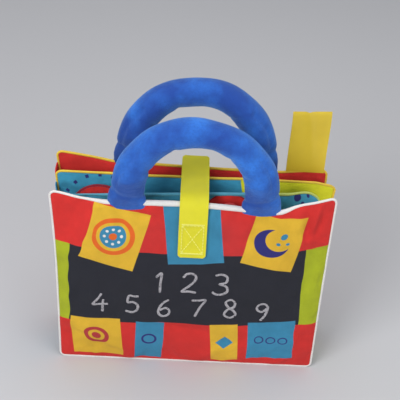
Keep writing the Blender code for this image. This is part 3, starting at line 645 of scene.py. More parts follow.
# Piping. A thin cord wrapped in a bias strip of cotton is caught in the seam all round each leaf:
# white on the front cover, teal pieced with pale lime on leaf 1 and yellow on the two behind. It
# looks fuller along the tops, where the strip is loose, and small puckers cross it.
def bias_strip(name, colour, pieced=None):
    """Cotton bias strip round the piping cord; pieced is a second colour and the x it starts at."""
    cloth = Finish(name, roughness=0.8, sheen=0.1)
    solid = cloth.place()[-1]
    along = cloth.place("cord")[0]
    if pieced:
        colour = cloth.mix((cloth.place()[0] - pieced[1]).above(), colour, pieced[0])
    grime = cloth.noise(solid, 130, 4, 0.6)
    cloth.feed("Base Color", cloth.scale(colour, 1.08 - grime * 0.22))
    pucker = (along * 2600 + cloth.noise(solid, 200) * 5).sine()
    cloth.bump(pucker * 0.5 + 0.5, 0.00008)
    cloth.bump(cloth.noise(solid, 900, 2), 0.00012)
    return cloth.material


def cord_uv(piece, path):
    """Run u along a tube's path, in metres; v stays at 0."""
    layer = piece.data.uv_layers.new(name="cord")
    lengths = [0.0]
    for start, end in zip(path, path[1:]):
        lengths.append(lengths[-1] + (end - start).length)
    nearest = {}
    for vert in piece.data.vertices:
        place = min(range(len(path)), key=lambda index: (path[index] - vert.co).length_squared)
        nearest[vert.index] = lengths[place]
    for polygon in piece.data.polygons:
        runs = [nearest[index] for index in polygon.vertices]
        for loop, run in zip(polygon.loop_indices, runs):
            wrapped = run + lengths[-1] if max(runs) - run > lengths[-1] / 2 else run
            layer.data[loop].uv = (wrapped, 0)


def pick(*pieces):
    """Select these pieces alone; the first is the active one."""
    deselect()
    for piece in pieces:
        piece.select_set(True)
    bpy.context.view_layer.objects.active = pieces[0]


def smooth_below(degrees):
    """Shade the active piece smooth and keep the edges that turn more than this sharp."""
    bpy.ops.object.shade_smooth_by_angle(angle=math.radians(degrees))


def tube(name, path, radius, sides, closed=False, shares=None, look=None):
    """A round tube along points, as a mesh with its place in its vertices."""
    curve = bpy.data.curves.new(name, "CURVE")
    curve.dimensions = "3D"
    curve.bevel_depth = radius
    curve.bevel_resolution = sides
    curve.use_fill_caps = not closed
    spline = curve.splines.new("POLY")
    spline.points.add(len(path) - 1)
    spline.use_cyclic_u = closed
    for index, place in enumerate(path):
        spline.points[index].co = (*place, 1)
        spline.points[index].radius = shares[index] if shares else 1
    pick(placed(name, curve))
    bpy.ops.object.convert(target="MESH")
    made = bpy.context.object
    with editing():
        bpy.ops.mesh.remove_doubles(threshold=0.00001)
        bpy.ops.mesh.normals_make_consistent(inside=False)
    bpy.ops.object.shade_smooth()
    if look:
        made.data.materials.append(look)
    return made


def piping(body, look, top_fullness, fullness=0.50):
    """The covered cord of one leaf, following its lifted corners."""
    low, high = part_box(body + "_piping")
    radius = (high.y - low.y) / 2
    bend = 0.0060
    sag = 0.0005
    half_width = (high.x - low.x) / 2
    half_height = (high.z - low.z + sag) / 2
    centre = low.z - sag + half_height
    middle = (low.y + high.y) / 2
    bends = [Vector((side_x * (half_width - bend), middle, centre + side_z * (half_height - bend)))
             for side_x, side_z in ((1, 1), (-1, 1), (-1, -1), (1, -1))]
    outline = []
    for quarter in range(4):
        for step in range(10):
            angle = (quarter + step / 9) * math.pi / 2
            outward = Vector((math.cos(angle), 0, math.sin(angle)))
            outline.append((bends[quarter] + outward * bend, outward))
        start = outline[-1][0]
        end = bends[(quarter + 1) % 4] + outward * bend
        outline += [(start.lerp(end, step / 64), outward) for step in range(1, 64)]
    path, swell = [], []
    for place, outward in outline:
        loose = min(max((0.096 - abs(place.x)) / 0.030, 0), 1) if outward.z > 0.9 else 0
        full = fullness + (top_fullness - fullness) * loose * loose * (3 - 2 * loose)
        place = settled(place - outward * radius * min(full, 1), high.z, leaf_shapes[body])
        wander = noise.noise(Vector((place.x * 30, place.z * 30, middle * 90)))
        place.y += wander * 0.0005 * min(place.z / 0.02, 1)
        path.append(place)
        swell.append(full * (1 + 0.06 * noise.noise(place * 90)))
    cord = tube(body + "_covered_cord", path, radius, 5, True, swell, look)
    cord_uv(cord, path)
    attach(cord, body)
    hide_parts(body + "_piping")


piping("front_cover", bias_strip("white_bias_strip", (0.78, 0.76, 0.73, 1)), 1.18)
piping("leaf_1", bias_strip("teal_bias_strip", (0.085, 0.36, 0.50, 1), ((0.52, 0.62, 0.14, 1), 0.060)), 0.78)
yellow_bias = bias_strip("yellow_bias_strip", (0.82, 0.56, 0.05, 1))
piping("leaf_2", yellow_bias, 0.58)
piping("back_cover", yellow_bias, 0.58)


# Handles. Each is a tube of short blue plush, stuffed, bent into an arch and drawn flat where its
# feet are caught in the top seam of a cover; the nap catches the light in patches and the cloth
# creases along the inside of the bend and above each foot.
def plush(name):
    """Short-nap plush in mottled blue."""
    fur = Finish(name, roughness=0.9, Sheen_Weight=0.55, Sheen_Roughness=0.45,
                 Sheen_Tint=(0.35, 0.62, 1.0, 1))
    solid = fur.place()[-1]
    strokes = fur.noise(solid, 24, 3, 0.55)
    nap = fur.noise(solid, 420, 3, 0.7)
    ink = fur.mix((strokes - 0.40) * 3.6, (0.010, 0.065, 0.36, 1), (0.030, 0.205, 0.76, 1))
    ink = fur.mix((nap - 0.42) * 1.3, ink, (0.008, 0.050, 0.28, 1))
    fur.feed("Base Color", ink)
    fur.bump(nap, 0.0006)
    fur.bump(fur.noise(solid, 1500, 2), 0.00035)
    return fur.material


blue_plush = plush("blue_plush_nap")


def stuffed_handle(body, seed):
    """An arch of stuffed plush with flared, flattened feet."""
    low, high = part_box(body)
    radius = (high.y - low.y) / 2
    arch = 0.058
    middle = (low.y + high.y) / 2
    centre = high.z - radius * 0.96 - arch
    foot = low.z - 0.0042
    path = []
    for step in range(12):
        path.append(Vector((arch, middle, foot + (centre - foot) * step / 12)))
    for step in range(97):
        angle = math.pi * step / 96
        path.append(Vector((arch * math.cos(angle), middle, centre + arch * math.sin(angle))))
    path += [Vector((-place.x, place.y, place.z)) for place in reversed(path[:12])]
    arm = tube(body + "_plush", path, radius, 14, look=blue_plush)
    for vert in arm.data.vertices:
        x, y, z = vert.co.x, vert.co.y - middle, vert.co.z
        rise = z - centre
        if rise > 0:
            angle = math.atan2(rise, x)
            out = Vector((math.cos(angle), 0, math.sin(angle)))
            far = math.hypot(x, rise) - arch
        else:
            angle = rise / arch if x > 0 else math.pi - rise / arch
            out = Vector((math.copysign(1, x), 0, 0))
            far = abs(x) - arch
        run = angle * arch
        round_it = math.atan2(y, far)
        inner = max(-math.cos(round_it), 0)
        height = max(z - foot, 0)
        swell = min(height / 0.034, 1)
        slim = 0.15 * math.sin(min(max(angle, 0), math.pi)) ** 2
        crown = 1 + 0.024 * noise.noise(Vector((run * 22, seed, 0))) - slim
        flare = 1 + 0.20 * (1 - swell) ** 1.6
        fold = noise.noise(Vector((run * 58, round_it * 0.9, seed * 7)))
        ridge = -abs(noise.noise(Vector((run * 120, round_it * 1.2, seed * 3 + 5)))) + 0.12
        soft = noise.noise(Vector((x * 34, y * 34 + seed, z * 34)))
        near_foot = max(1 - height / 0.030, 0)
        gather = -abs(math.sin(round_it * 4.0 + soft * 5)) * near_foot * 0.0019
        push = (0.0009 * fold + 0.0006 * ridge) * inner ** 1.4 + 0.0015 * soft + gather
        seam = round_it + 0.85 + 0.22 * math.sin(run * 130 + seed) * (1 - swell * 0.5)
        if rise < arch * 0.8:
            push -= 0.0024 * math.exp(-(seam / 0.14) ** 2) * swell
        for bend, depth in ((0.55, 1.0), (1.02, 0.7), (2.02, 0.8), (2.62, 1.1)):
            line = (angle - bend - 0.10 * seed * math.sin(round_it) - 0.05 * soft) * arch / 0.0034
            push -= 0.0018 * depth * math.exp(-line * line) * inner
        waist = (height - 0.0185 - 0.0045 * math.sin(round_it + seed)) / 0.0024
        push += 0.0016 * math.exp(-((height - 0.0105) / 0.0055) ** 2) - 0.0019 * math.exp(-waist * waist)
        thick = 0.0034 / radius + (1 - 0.0034 / radius) * swell ** 1.15
        reach = 1 + push / radius * (0.35 + 0.65 * swell)
        place = out * (far * crown * flare * reach + radius * slim * 0.9)
        place += out * math.exp(-((math.pi - abs(round_it)) / 0.10) ** 2) * 0.0010 * swell
        vert.co = Vector((out.x * arch if rise <= 0 else math.cos(angle) * arch, middle,
                          z if rise <= 0 else centre + math.sin(angle) * arch))
        vert.co += place
        vert.co.y = middle + y * crown * reach * thick
        if rise <= 0:
            vert.co.z = z
    for vert in arm.data.vertices:
        vert.co.y += 0.0012 * noise.noise(Vector((vert.co.x * 9, seed, vert.co.z * 9)))
    cloth_uv(arm)
    smooth = arm.modifiers.new("smooth", "SUBSURF")
    smooth.levels = smooth.render_levels = 1
    pick(arm)
    bpy.ops.object.modifier_apply(modifier="smooth")
    bpy.ops.object.shade_smooth()
    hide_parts(body)
    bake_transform(arm)
    return arm


stuffed_handle("front_handle", 1)
stuffed_handle("back_handle", 2)


# Strap. One length of lime polypropylene webbing, box-stitched to the front cover, turned over its
# piping and laid back across the tops of the leaves to the loop tab on the back cover.
def webbing_look(name, colour, dark, pitch):
    """Twill webbing with a ribbed face, from its own (u, v) map."""
    band = Finish(name, roughness=0.66, sheen=0.08)
    u, v = band.place("cloth")[:2]
    solid = band.place()[-1]
    turn = 2 * math.pi / pitch
    twill = ((v + abs(u) * 0.9) * turn).sine()
    rib = (u * turn).sine()
    weave = (twill * 0.7 + rib * 0.3) * 0.5 + 0.5
    ink = band.mix((1 - weave) * 0.55, colour, dark)
    ink = band.mix((band.noise(solid, 90, 4) - 0.45) * 0.8, ink, dark)
    band.feed("Base Color", ink)
    band.bump(weave, 0.00018)
    return band.material


cover = leaves["front_cover"].data
corners = [vert.co.copy() for vert in cover.vertices]
cover_shell = BVHTree.FromPolygons(corners, [list(polygon.vertices) for polygon in cover.polygons])
cover_middle = sum(corner.y for corner in corners) / len(corners)


def cover_y(x, z):
    """Where the front cover's face is at (x, z)."""
    place = cover_shell.ray_cast(Vector((x, cover_middle - 0.03, z)), Vector((0, 1, 0)))[0]
    return place.y if place else cover_middle - 0.003


def ribbon(name, rows, width, thickness, columns=8, ridge=0.0, sideways=(1, 0, 0)):
    """A band along (place, normal, width share) rows, with thicker edges if asked."""
    sideways = Vector(sideways)
    source = bmesh.new()
    layer = source.loops.layers.uv.new("cloth")
    grid = []
    run = 0.0
    for index, (place, normal, share) in enumerate(rows):
        if index:
            run += (place - rows[index - 1][0]).length
        ring = []
        for side in (1, -1):
            for step in range(columns + 1):
                across = (step / columns - 0.5) * side
                thick = thickness * (1 + ridge * max(abs(across) - 0.42, 0) / 0.08)
                spot = place + sideways * across * width * share + normal * thick / 2 * side
                ring.append((source.verts.new(spot), (across * width, run)))
        grid.append(ring)
    count = len(grid[0])
    for low, high in zip(grid, grid[1:]):
        for step in range(count):
            after = (step + 1) % count
            corners = (low[step], low[after], high[after], high[step])
            face = source.faces.new([corner[0] for corner in corners])
            for loop, corner in zip(face.loops, corners):
                loop[layer].uv = corner[1]
    for ring in (grid[0], grid[-1]):
        half = columns + 1
        for step in range(columns):
            corners = (ring[step], ring[step + 1], ring[count - 2 - step], ring[count - 1 - step])
            face = source.faces.new([corner[0] for corner in corners])
            for loop, corner in zip(face.loops, corners):
                loop[layer].uv = corner[1]
    bmesh.ops.recalc_face_normals(source, faces=source.faces)
    made = placed(name, bpy.data.meshes.new(name))
    source.to_mesh(made.data)
    source.free()
    pick(made)
    smooth_below(50)
    return made


lime_webbing = webbing_look("lime_twill_webbing", (0.86, 0.78, 0.016, 1), (0.58, 0.56, 0.012, 1), 0.0009)


def strap_rows():
    """Places and normals down the strap's middle, from its sewn end to its free end."""
    spots = []
    for step in range(30):
        z = 0.1320 + 0.0040 * step / 6 if step < 6 else 0.1360 + 0.0410 * (step - 6) / 23
        faces = [cover_y(x, z) for x in (-0.011, -0.005, 0, 0.005, 0.011)]
        spots.append(Vector((0, min(faces) - 0.0011, z)))
    for y, z in ((-0.0361, 0.1795), (-0.0362, 0.1818), (-0.0356, 0.1842), (-0.0342, 0.1866),
                 (-0.0322, 0.1886), (-0.0298, 0.1898), (-0.0265, 0.1903)):
        spots.append(Vector((0, y, z)))
    for step in range(1, 25):
        y = -0.0265 + 0.0630 * step / 24
        spots.append(Vector((0, y, 0.1904 + 0.0003 * math.sin(step * 0.8))))
    for _ in range(6):
        spots = [spots[0]] + [(before + place * 2 + after) / 4 for before, place, after
                              in zip(spots, spots[1:], spots[2:])] + [spots[-1]]
    rows = []
    for index, place in enumerate(spots):
        along = spots[min(index + 1, len(spots) - 1)] - spots[max(index - 1, 0)]
        normal = Vector((0, -along.z, along.y)).normalized()
        end = min((place - spots[0]).length, (place - spots[-1]).length)
        rows.append((place, normal, 1 - 0.22 * max(1 - end / 0.0035, 0) ** 2))
    return rows


dent_depth = 0.0006
dent_half_width, dent_half_height, dent_height, dent_edge = 0.0088, 0.0136, 0.15135, 0.0016


def pressed(x, z):
    """How deep the box of stitches draws the strap in at a place."""
    inside = min(dent_half_width - abs(x), dent_half_height - abs(z - dent_height))
    return dent_depth * min(max(inside / dent_edge, 0), 1)


strap_line = strap_rows()
strap = ribbon("strap_webbing", strap_line, 0.0248, 0.0017, 24, 0.35)
for vert in strap.data.vertices:
    if vert.co.z < 0.170 and vert.co.y < min(strap_line, key=lambda row: abs(row[0].z - vert.co.z))[0].y:
        vert.co.y += pressed(vert.co.x, vert.co.z)
strap.data.materials.append(lime_webbing)
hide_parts("strap_sewn_end", "strap_free_end")
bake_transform(strap)


# Gussets. Three strips of plain cotton join the leaves along the hinge edge.
def spine_strip(number, front_body, back_body, colour):
    """A cloth strip between two neighbouring leaves."""
    low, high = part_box("gusset_%d" % number)
    middle = (low.y + high.y) / 2
    under_cords = 0.0034
    half_width = 0.0099
    deselect()
    bpy.ops.mesh.primitive_cube_add(size=1, location=((low.x + high.x) / 2, middle, (low.z + high.z) / 2))
    strip = bpy.context.object
    strip.name = "spine_strip_%d" % number
    strip.scale = (0.0008, high.y - low.y + under_cords, high.z - low.z)
    bpy.ops.object.transform_apply(location=True, rotation=False, scale=True)
    with editing():
        bpy.ops.mesh.subdivide(number_cuts=15)
    tops = [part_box(body + "_piping")[1].z for body in (front_body, back_body)]
    for vert in strip.data.vertices:
        across = (vert.co.y - middle) / half_width
        share = (across + 1) / 2
        front = settled(vert.co, tops[0], leaf_shapes[front_body])
        back = settled(vert.co, tops[1], leaf_shapes[back_body])
        belly = (1 - across ** 2) * noise.noise(Vector((number, vert.co.y * 90, vert.co.z * 26)))
        vert.co = front.lerp(back, share)
        vert.co.x += belly * 0.0018 + 0.0006 * across ** 4
    pick(strip)
    smooth_below(50)
    cloth_uv(strip)
    layer = strip.data.uv_layers["cloth"].data
    for loop in strip.data.loops:
        corner = strip.data.vertices[loop.vertex_index].co
        layer[loop.index].uv = (corner.y, corner.z)
    strip.data.materials.append(cotton("spine_cotton_%d" % number, lambda cloth, u, v: colour))
    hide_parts("gusset_%d" % number)
    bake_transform(strip)


spine_strip(1, "front_cover", "leaf_1", teal_ink)
spine_strip(2, "leaf_1", "leaf_2", teal_ink)
spine_strip(3, "leaf_2", "back_cover", red_ink)


# Care label. A satin ribbon folded in two, its ends caught in the back cover's top seam. It leans
# and curls a little, and it is bare.
satin = Finish("lemon_satin", roughness=0.42, sheen=0.1)
sheen_share = (satin.noise(satin.place()[-1], 60, 3) - 0.4) * 0.8
satin.feed("Base Color", satin.mix(sheen_share, (0.76, 0.55, 0.035, 1), (0.60, 0.42, 0.02, 1)))
satin.bump((satin.place("cloth")[1] * 9000).sine() * 0.5 + 0.5, 0.00003)
low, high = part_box("care_label")
caught = 0.0035
label_rows = []
for step in range(-28, 29):
    share = 1 - abs(step) / 28
    turn = min(max(share - 0.97, 0) / 0.03, 1)
    z = low.z - caught + (high.z - low.z + caught) * share
    bend = 0.0030 * math.sin(share * math.pi * 0.9) ** 2 - 0.0016 * share
    side = math.copysign(1, step)
    ply = 0.00045 * side * math.sqrt(1 - turn ** 2) * (1 + 0.9 * math.sin(share * math.pi)) if step else 0
    normal = Vector((0, side * (1 - turn), turn + 0.001)).normalized()
    label_rows.append((Vector(((low.x + high.x) / 2, (low.y + high.y) / 2 + bend + ply, z)), normal, 1))
label = ribbon("care_label_ribbon", label_rows, high.x - low.x, 0.00035, 12)
for vert in label.data.vertices:
    share = (vert.co.z - low.z) / (high.z - low.z)
    side = (vert.co.x - (low.x + high.x) / 2) / (high.x - low.x)
    curl = math.exp(-((side - 0.18 + share * 0.25) / 0.06) ** 2)
    vert.co.y += 0.0035 * side * share - 0.0022 * curl * share
    vert.co.x += 0.0012 * share * math.sin(share * 3)
label.data.materials.append(satin.material)
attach(label, "back_cover")
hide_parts("care_label")


# Stitching. Polyester thread in short lockstitches holds the strap's end in a crossed box and the
# smaller pieces to their leaves.
deselect()
bpy.ops.mesh.primitive_uv_sphere_add(segments=6, ring_count=4, radius=1, rotation=(0, math.pi / 2, 0))
bpy.ops.object.transform_apply(rotation=True)
stitch_model = bpy.context.object.data
bpy.data.objects.remove(bpy.context.object)


def copies(name, model, places, look):
    """One object that holds a copy of the model mesh at each matrix."""
    source = bmesh.new()
    for matrix in places:
        one = model.copy()
        one.transform(matrix)
        source.from_mesh(one)
        bpy.data.meshes.remove(one)
    bmesh.ops.recalc_face_normals(source, faces=source.faces)
    made = placed(name, bpy.data.meshes.new(name))
    source.to_mesh(made.data)
    source.free()
    made.data.materials.append(look)
    made.data.polygons.foreach_set("use_smooth", [True] * len(made.data.polygons))
    return made


def thread_look(name, colour):
    """Polyester sewing thread."""
    line = Finish(name, roughness=0.5, sheen=0.2)
    solid = line.place()[-1]
    line.feed("Base Color", line.scale(colour, 0.8 + line.noise(solid, 900, 2) * 0.4))
    line.bump(line.noise(solid, 3500, 2), 0.0001)
    return line.material


def stitched(name, lines, look, length=0.0023, gap=0.0011, thick=0.00030):
    """Stitches along lines of (place, normal) points."""
    places = []
    for line in lines:
        spans = [(start, end, (end[0] - start[0]).length) for start, end in zip(line, line[1:])]
        whole = sum(span[2] for span in spans)
        count = max(round(whole / (length + gap)), 1)
        for number in range(count):
            want = whole * (number + 0.5) / count
            for start, end, reach in spans:
                if want <= reach:
                    break
                want -= reach
            share = min(want / max(reach, 1e-9), 1)
            place = start[0].lerp(end[0], share)
            along = (end[0] - start[0]).normalized()
            normal = start[1].lerp(end[1], share).normalized()
            side = normal.cross(along).normalized()
            normal = along.cross(side)
            turned = Matrix((along, side, normal)).transposed().to_4x4()
            size = Matrix.Diagonal((whole / count * length / (length + gap) / 2, thick, thick * 0.8, 1))
            places.append(Matrix.Translation(place) @ turned @ size)
    return copies(name, stitch_model, places, look)


lime_thread = thread_look("lime_thread", (0.88, 0.86, 0.16, 1))
white_thread = thread_look("white_thread", (0.75, 0.74, 0.70, 1))
orange_thread = thread_look("orange_thread", (0.75, 0.22, 0.02, 1))


strap_spots = [place for place, normal, share in strap_line]


def on_strap(x, z):
    """A point on the outer face of the strap's sewn end."""
    for low, high in zip(strap_spots, strap_spots[1:]):
        if low.z <= z <= high.z:
            part = (z - low.z) / max(high.z - low.z, 1e-9)
            return Vector((x, low.lerp(high, part).y - 0.00105 + pressed(x, z), z)), Vector((0, -1, 0))


def run_between(start, end):
    """Points on the strap in twelve steps from one corner to another."""
    return [on_strap(start[0] + (end[0] - start[0]) * step / 12,
                     start[1] + (end[1] - start[1]) * step / 12) for step in range(13)]


def crossed_box(corners):
    """The four sides and two diagonals of a box of stitches, as pairs of its corners."""
    return [(corners[start], corners[end]) for start, end in ((0, 1), (1, 2), (2, 3), (3, 0), (0, 2), (1, 3))]


strap_corners = ((-0.0094, 0.1372), (0.0094, 0.1372), (0.0094, 0.1655), (-0.0094, 0.1655))
box_lines = [run_between(start, end) for start, end in crossed_box(strap_corners)]
for height in (0.1358, 0.1658):
    zigzag = [on_strap(-0.0100 + 0.0008 * step, height + 0.0016 * (step % 2)) for step in range(26)]
    box_lines += [[start, end] for start, end in zip(zigzag, zigzag[1:])]
box_stitches = stitched("strap_box_stitching", box_lines, lime_thread, 0.0028, 0.0003, 0.00052)
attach(box_stitches, "front_cover")


# Hook-and-loop fastening. A stiff pad of hooks sewn under the strap's end grips the woolly loop
# pad on the back cover's tab.
def soft_block(name, low, high, rounding, segments=3, look=None):
    """A rounded block between two corners."""
    deselect()
    bpy.ops.mesh.primitive_cube_add(size=1, location=(Vector(low) + Vector(high)) / 2)
    made = bpy.context.object
    made.name = name
    made.scale = Vector(high) - Vector(low)
    bpy.ops.object.transform_apply(location=True, rotation=False, scale=True)
    edge = made.modifiers.new("edge", "BEVEL")
    edge.width = rounding
    edge.segments = segments
    bpy.ops.object.modifier_apply(modifier="edge")
    smooth_below(50)
    if look:
        made.data.materials.append(look)
    return made


def fibre_look(name, colour, scale, depth):
    """Matted or hooked fibres."""
    fibre = Finish(name, roughness=0.9, sheen=0.4)
    solid = fibre.place()[-1]
    wool = fibre.noise(solid, scale, 5, 0.75)
    fibre.feed("Base Color", fibre.scale(colour, 0.55 + wool * 0.9))
    fibre.bump(wool, depth)
    return fibre.material


hook_look = fibre_look("lime_hook_fibre", (0.50, 0.56, 0.03, 1), 1200, 0.0003)
loop_look = fibre_look("lime_loop_fibre", (0.52, 0.60, 0.05, 1), 700, 0.0008)
low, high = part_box("strap_hook_pad")
pad = soft_block("hook_pad_tape", (low.x, low.y, (low.z + high.z) / 2), high, 0.00025, 2, hook_look)
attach(pad, "strap")
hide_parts("strap_hook_pad")
deselect()
bpy.ops.mesh.primitive_cone_add(vertices=5, radius1=0.00022, radius2=0.00012, depth=0.0008)
hook_model = bpy.context.object
with editing():
    bpy.ops.mesh.subdivide(number_cuts=1)
for vert in hook_model.data.vertices:
    vert.co.x += 0.0004 * max(vert.co.z / 0.0004, 0) ** 2
hook_model = hook_model.data
bpy.data.objects.remove(bpy.context.object)
hooks = []
hook_pitch = 0.0011
hook_margin = 0.0012
first_hook = Vector((low.x + 0.0009, low.y + 0.0009, low.z + 0.00035))
for row in range(int((high.y - low.y - hook_margin) / hook_pitch)):
    for column in range(int((high.x - low.x - hook_margin) / hook_pitch)):
        spot = first_hook + Vector((column * hook_pitch, row * hook_pitch, 0))
        hooks.append(Matrix.Translation(spot) @ Matrix.Rotation(math.pi, 4, "X"))
hook_field = copies("hook_field", hook_model, hooks, hook_look)
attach(hook_field, "strap")
low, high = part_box("back_cover_loop_tab")
tab = soft_block("loop_tab_cloth", low, high, 0.0005, 3, loop_look)
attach(tab, "back_cover")
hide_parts("back_cover_loop_tab")


# Spinning wheel. A padded cloth disc with a printed pinwheel, held to leaf 2 by a plastic rivet
# with a domed cap that it turns on.
def turned_piece(name, profile, centre, look, steps=64):
    """Spin a profile of (radius, depth) points once round the Y axis through a centre."""
    centre = Vector(centre)
    spots = [centre + Vector((radius, depth, 0)) for radius, depth in profile]
    drawn = bpy.data.meshes.new(name)
    drawn.from_pydata(spots, [(index, index + 1) for index in range(len(spots) - 1)], [])
    made = placed(name, drawn)
    pick(made)
    with editing():
        bpy.ops.mesh.spin(steps=steps, angle=2 * math.pi, center=centre, axis=(0, 1, 0))
        bpy.ops.mesh.select_all(action="SELECT")
        bpy.ops.mesh.remove_doubles(threshold=0.00001)
        bpy.ops.mesh.normals_make_consistent(inside=False)
    smooth_below(40)
    made.data.materials.append(look)
    return made


def pinwheel_print(cloth, u, v):
    """Red disc with yellow swirling blades, navy curls, an orange middle and a dark red rim of painted shade.
    """
    reach = distance(u, v, wheel_spot)
    swirl = bearing(u, v, wheel_spot) * 5 + reach * 190
    inside = (0.0165 - reach).above()
    curl = (1 - abs((swirl + 1.2).sine()) * 5).clamped()
    # The dark red band past 25.6 mm is painted shade on the disc's turned edge.
    return cloth.marked(red_ink, [(swirl.sine().above(14) * inside, yellow_ink), (curl * inside, navy_ink),
                                  ((reach - 0.0256).above(), (0.26, 0.014, 0.03, 1)),
                                  ((0.0105 - reach).above(), orange_ink)])


wheel_low, wheel_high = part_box("spinning_wheel")
wheel_centre = (wheel_low + wheel_high) / 2
radius = (wheel_high.x - wheel_low.x) / 2
half = (wheel_high.y - wheel_low.y) / 2
face = [(0.0044, 0.55), (0.0052, 0.80), (0.0066, 0.97), (0.0090, 1.0), (0.0120, 1.0), (0.0150, 0.98),
        (0.0180, 0.90), (0.0205, 0.78), (0.0225, 0.62), (0.0240, 0.46), (0.0252, 0.34), (0.0262, 0.30),
        (0.0268, 0.18)]
profile = [(near, -half * share) for near, share in face] + [(radius, 0)]
profile += [(near, half * share) for near, share in reversed(face)] + [(0.0040, 0.0), (0.0044, -half * 0.55)]
wheel = turned_piece("wheel_disc", profile, wheel_centre, cotton("pinwheel_cotton", pinwheel_print), 120)
for vert in wheel.data.vertices:
    away_from = vert.co - wheel_centre
    near = math.hypot(away_from.x, away_from.z)
    turn = math.atan2(away_from.z, away_from.x)
    ease = min(max((near - 0.015) / 0.009, 0), 1) * min(max((0.0268 - near) / 0.002, 0), 1)
    pucker = noise.noise(Vector((math.cos(turn) * 7, math.sin(turn) * 7, math.copysign(3, away_from.y))))
    vert.co.y -= away_from.y * (0.10 + 0.55 * pucker) * ease
cloth_uv(wheel)
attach(wheel, "wheel")
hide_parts("spinning_wheel")
ring = []
ring_radius = 0.0253
for step in range(73):
    turn = 2 * math.pi * step / 72
    start = wheel_centre + Vector((math.cos(turn), 0, math.sin(turn))) * ring_radius + Vector((0, -0.02, 0))
    ring.append(wheel.ray_cast(start, Vector((0, 1, 0)))[1:3])
wheel_stitches = stitched("wheel_stitching", [ring], thread_look("red_thread", (0.40, 0.02, 0.03, 1)))
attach(wheel_stitches, "wheel")


def gloss(name, colour, roughness=0.30):
    """Moulded plastic with faint scuffs."""
    shell = Finish(name, roughness=roughness)
    shell.feed("Base Color", colour)
    solid = shell.place()[-1]
    shell.feed("Roughness", roughness + shell.noise(solid, 180, 4) * 0.12)
    shell.bump(shell.noise(solid, 450, 2), 0.00005)
    return shell.material


white_plastic = gloss("white_moulded_plastic", (0.78, 0.78, 0.76, 1))
low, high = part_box("wheel_rivet")
head = (high.x - low.x) / 2
cap = low.y
rivet = turned_piece("rivet_cap", [
    (0, cap), (0.0022, cap + 0.00012), (0.0042, cap + 0.00045), (0.0050, cap + 0.00075),
    (0.0053, cap + 0.00100), (0.0058, cap + 0.00080), (0.0066, cap + 0.00075),
    (head - 0.0002, cap + 0.00100), (head, cap + 0.00125), (head - 0.0002, cap + 0.00150),
    (0.0032, cap + 0.00155), (0.0030, high.y), (0, high.y)],
    (wheel_centre.x, 0, wheel_centre.z), white_plastic)
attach(rivet, "leaf_2")
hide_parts("wheel_rivet")


# Counting beads. Three drilled plastic beads run on a white twisted cord whose ends are sewn
# under two cloth tabs.
for body, colour, slot_name in (
        ("bead_1", (0.70, 0.025, 0.022, 1), "red_plastic"), ("bead_2", (0.80, 0.50, 0.02, 1), "yellow_plastic"),
        ("bead_3", (0.05, 0.36, 0.04, 1), "green_plastic")):
    low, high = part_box(body)
    centre = (low + high) / 2
    radius = (high.z - low.z) / 2
    flatten = (high.y - low.y) / (high.z - low.z)
    deselect()
    bpy.ops.mesh.primitive_uv_sphere_add(segments=40, ring_count=32, radius=radius,
                                         rotation=(0, math.pi / 2, 0))
    bead = bpy.context.object
    bead.name = body + "_ball"
    bpy.ops.object.transform_apply(rotation=True)
    bpy.ops.object.mode_set(mode="EDIT")
    bpy.ops.mesh.select_mode(type="VERT")
    bpy.ops.mesh.select_all(action="DESELECT")
    bpy.ops.object.mode_set(mode="OBJECT")
    for vert in bead.data.vertices:
        vert.select = math.hypot(vert.co.y, vert.co.z) < 0.0016
    bpy.ops.object.mode_set(mode="EDIT")
    bpy.ops.mesh.delete(type="VERT")
    bpy.ops.mesh.select_all(action="DESELECT")
    bpy.ops.mesh.select_mode(type="EDGE")
    bpy.ops.mesh.select_non_manifold()
    bpy.ops.mesh.bridge_edge_loops(number_cuts=4)
    bpy.ops.mesh.select_all(action="SELECT")
    bpy.ops.mesh.normals_make_consistent(inside=False)
    bpy.ops.object.mode_set(mode="OBJECT")
    for vert in bead.data.vertices:
        far = math.hypot(vert.co.y, vert.co.z)
        vert.co.y *= flatten + (1 - flatten) * math.exp(-(far / 0.0040) ** 2)
        vert.co.x *= 1 - 0.06 * math.exp(-(far / 0.0035) ** 2)
        vert.co += centre
    smooth_below(45)
    bead.data.materials.append(gloss(body + "_plastic", colour, 0.22))
    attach(bead, body)
    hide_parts(body)

low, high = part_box("bead_cord")
middle = (low + high) / 2
twist_length, twist_radius, strand_radius = 0.0062, 0.00052, 0.00056
strands = []
for strand in range(3):
    path = []
    for step in range(241):
        x = low.x - 0.003 + (high.x - low.x + 0.006) * step / 240
        turn = x / twist_length * 2 * math.pi + strand * 2 * math.pi / 3
        path.append(Vector((x, middle.y + twist_radius * math.cos(turn),
                            middle.z + twist_radius * math.sin(turn))))
    strands.append(tube("cord_strand_%d" % strand, path, strand_radius, 2))
pick(*strands)
bpy.ops.object.join()
cord = bpy.context.object
cord.name = "twisted_cord"
cord.data.materials.append(fibre_look("white_cord_fibre", (0.72, 0.71, 0.67, 1), 1600, 0.0002))
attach(cord, "leaf_2")
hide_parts("bead_cord")


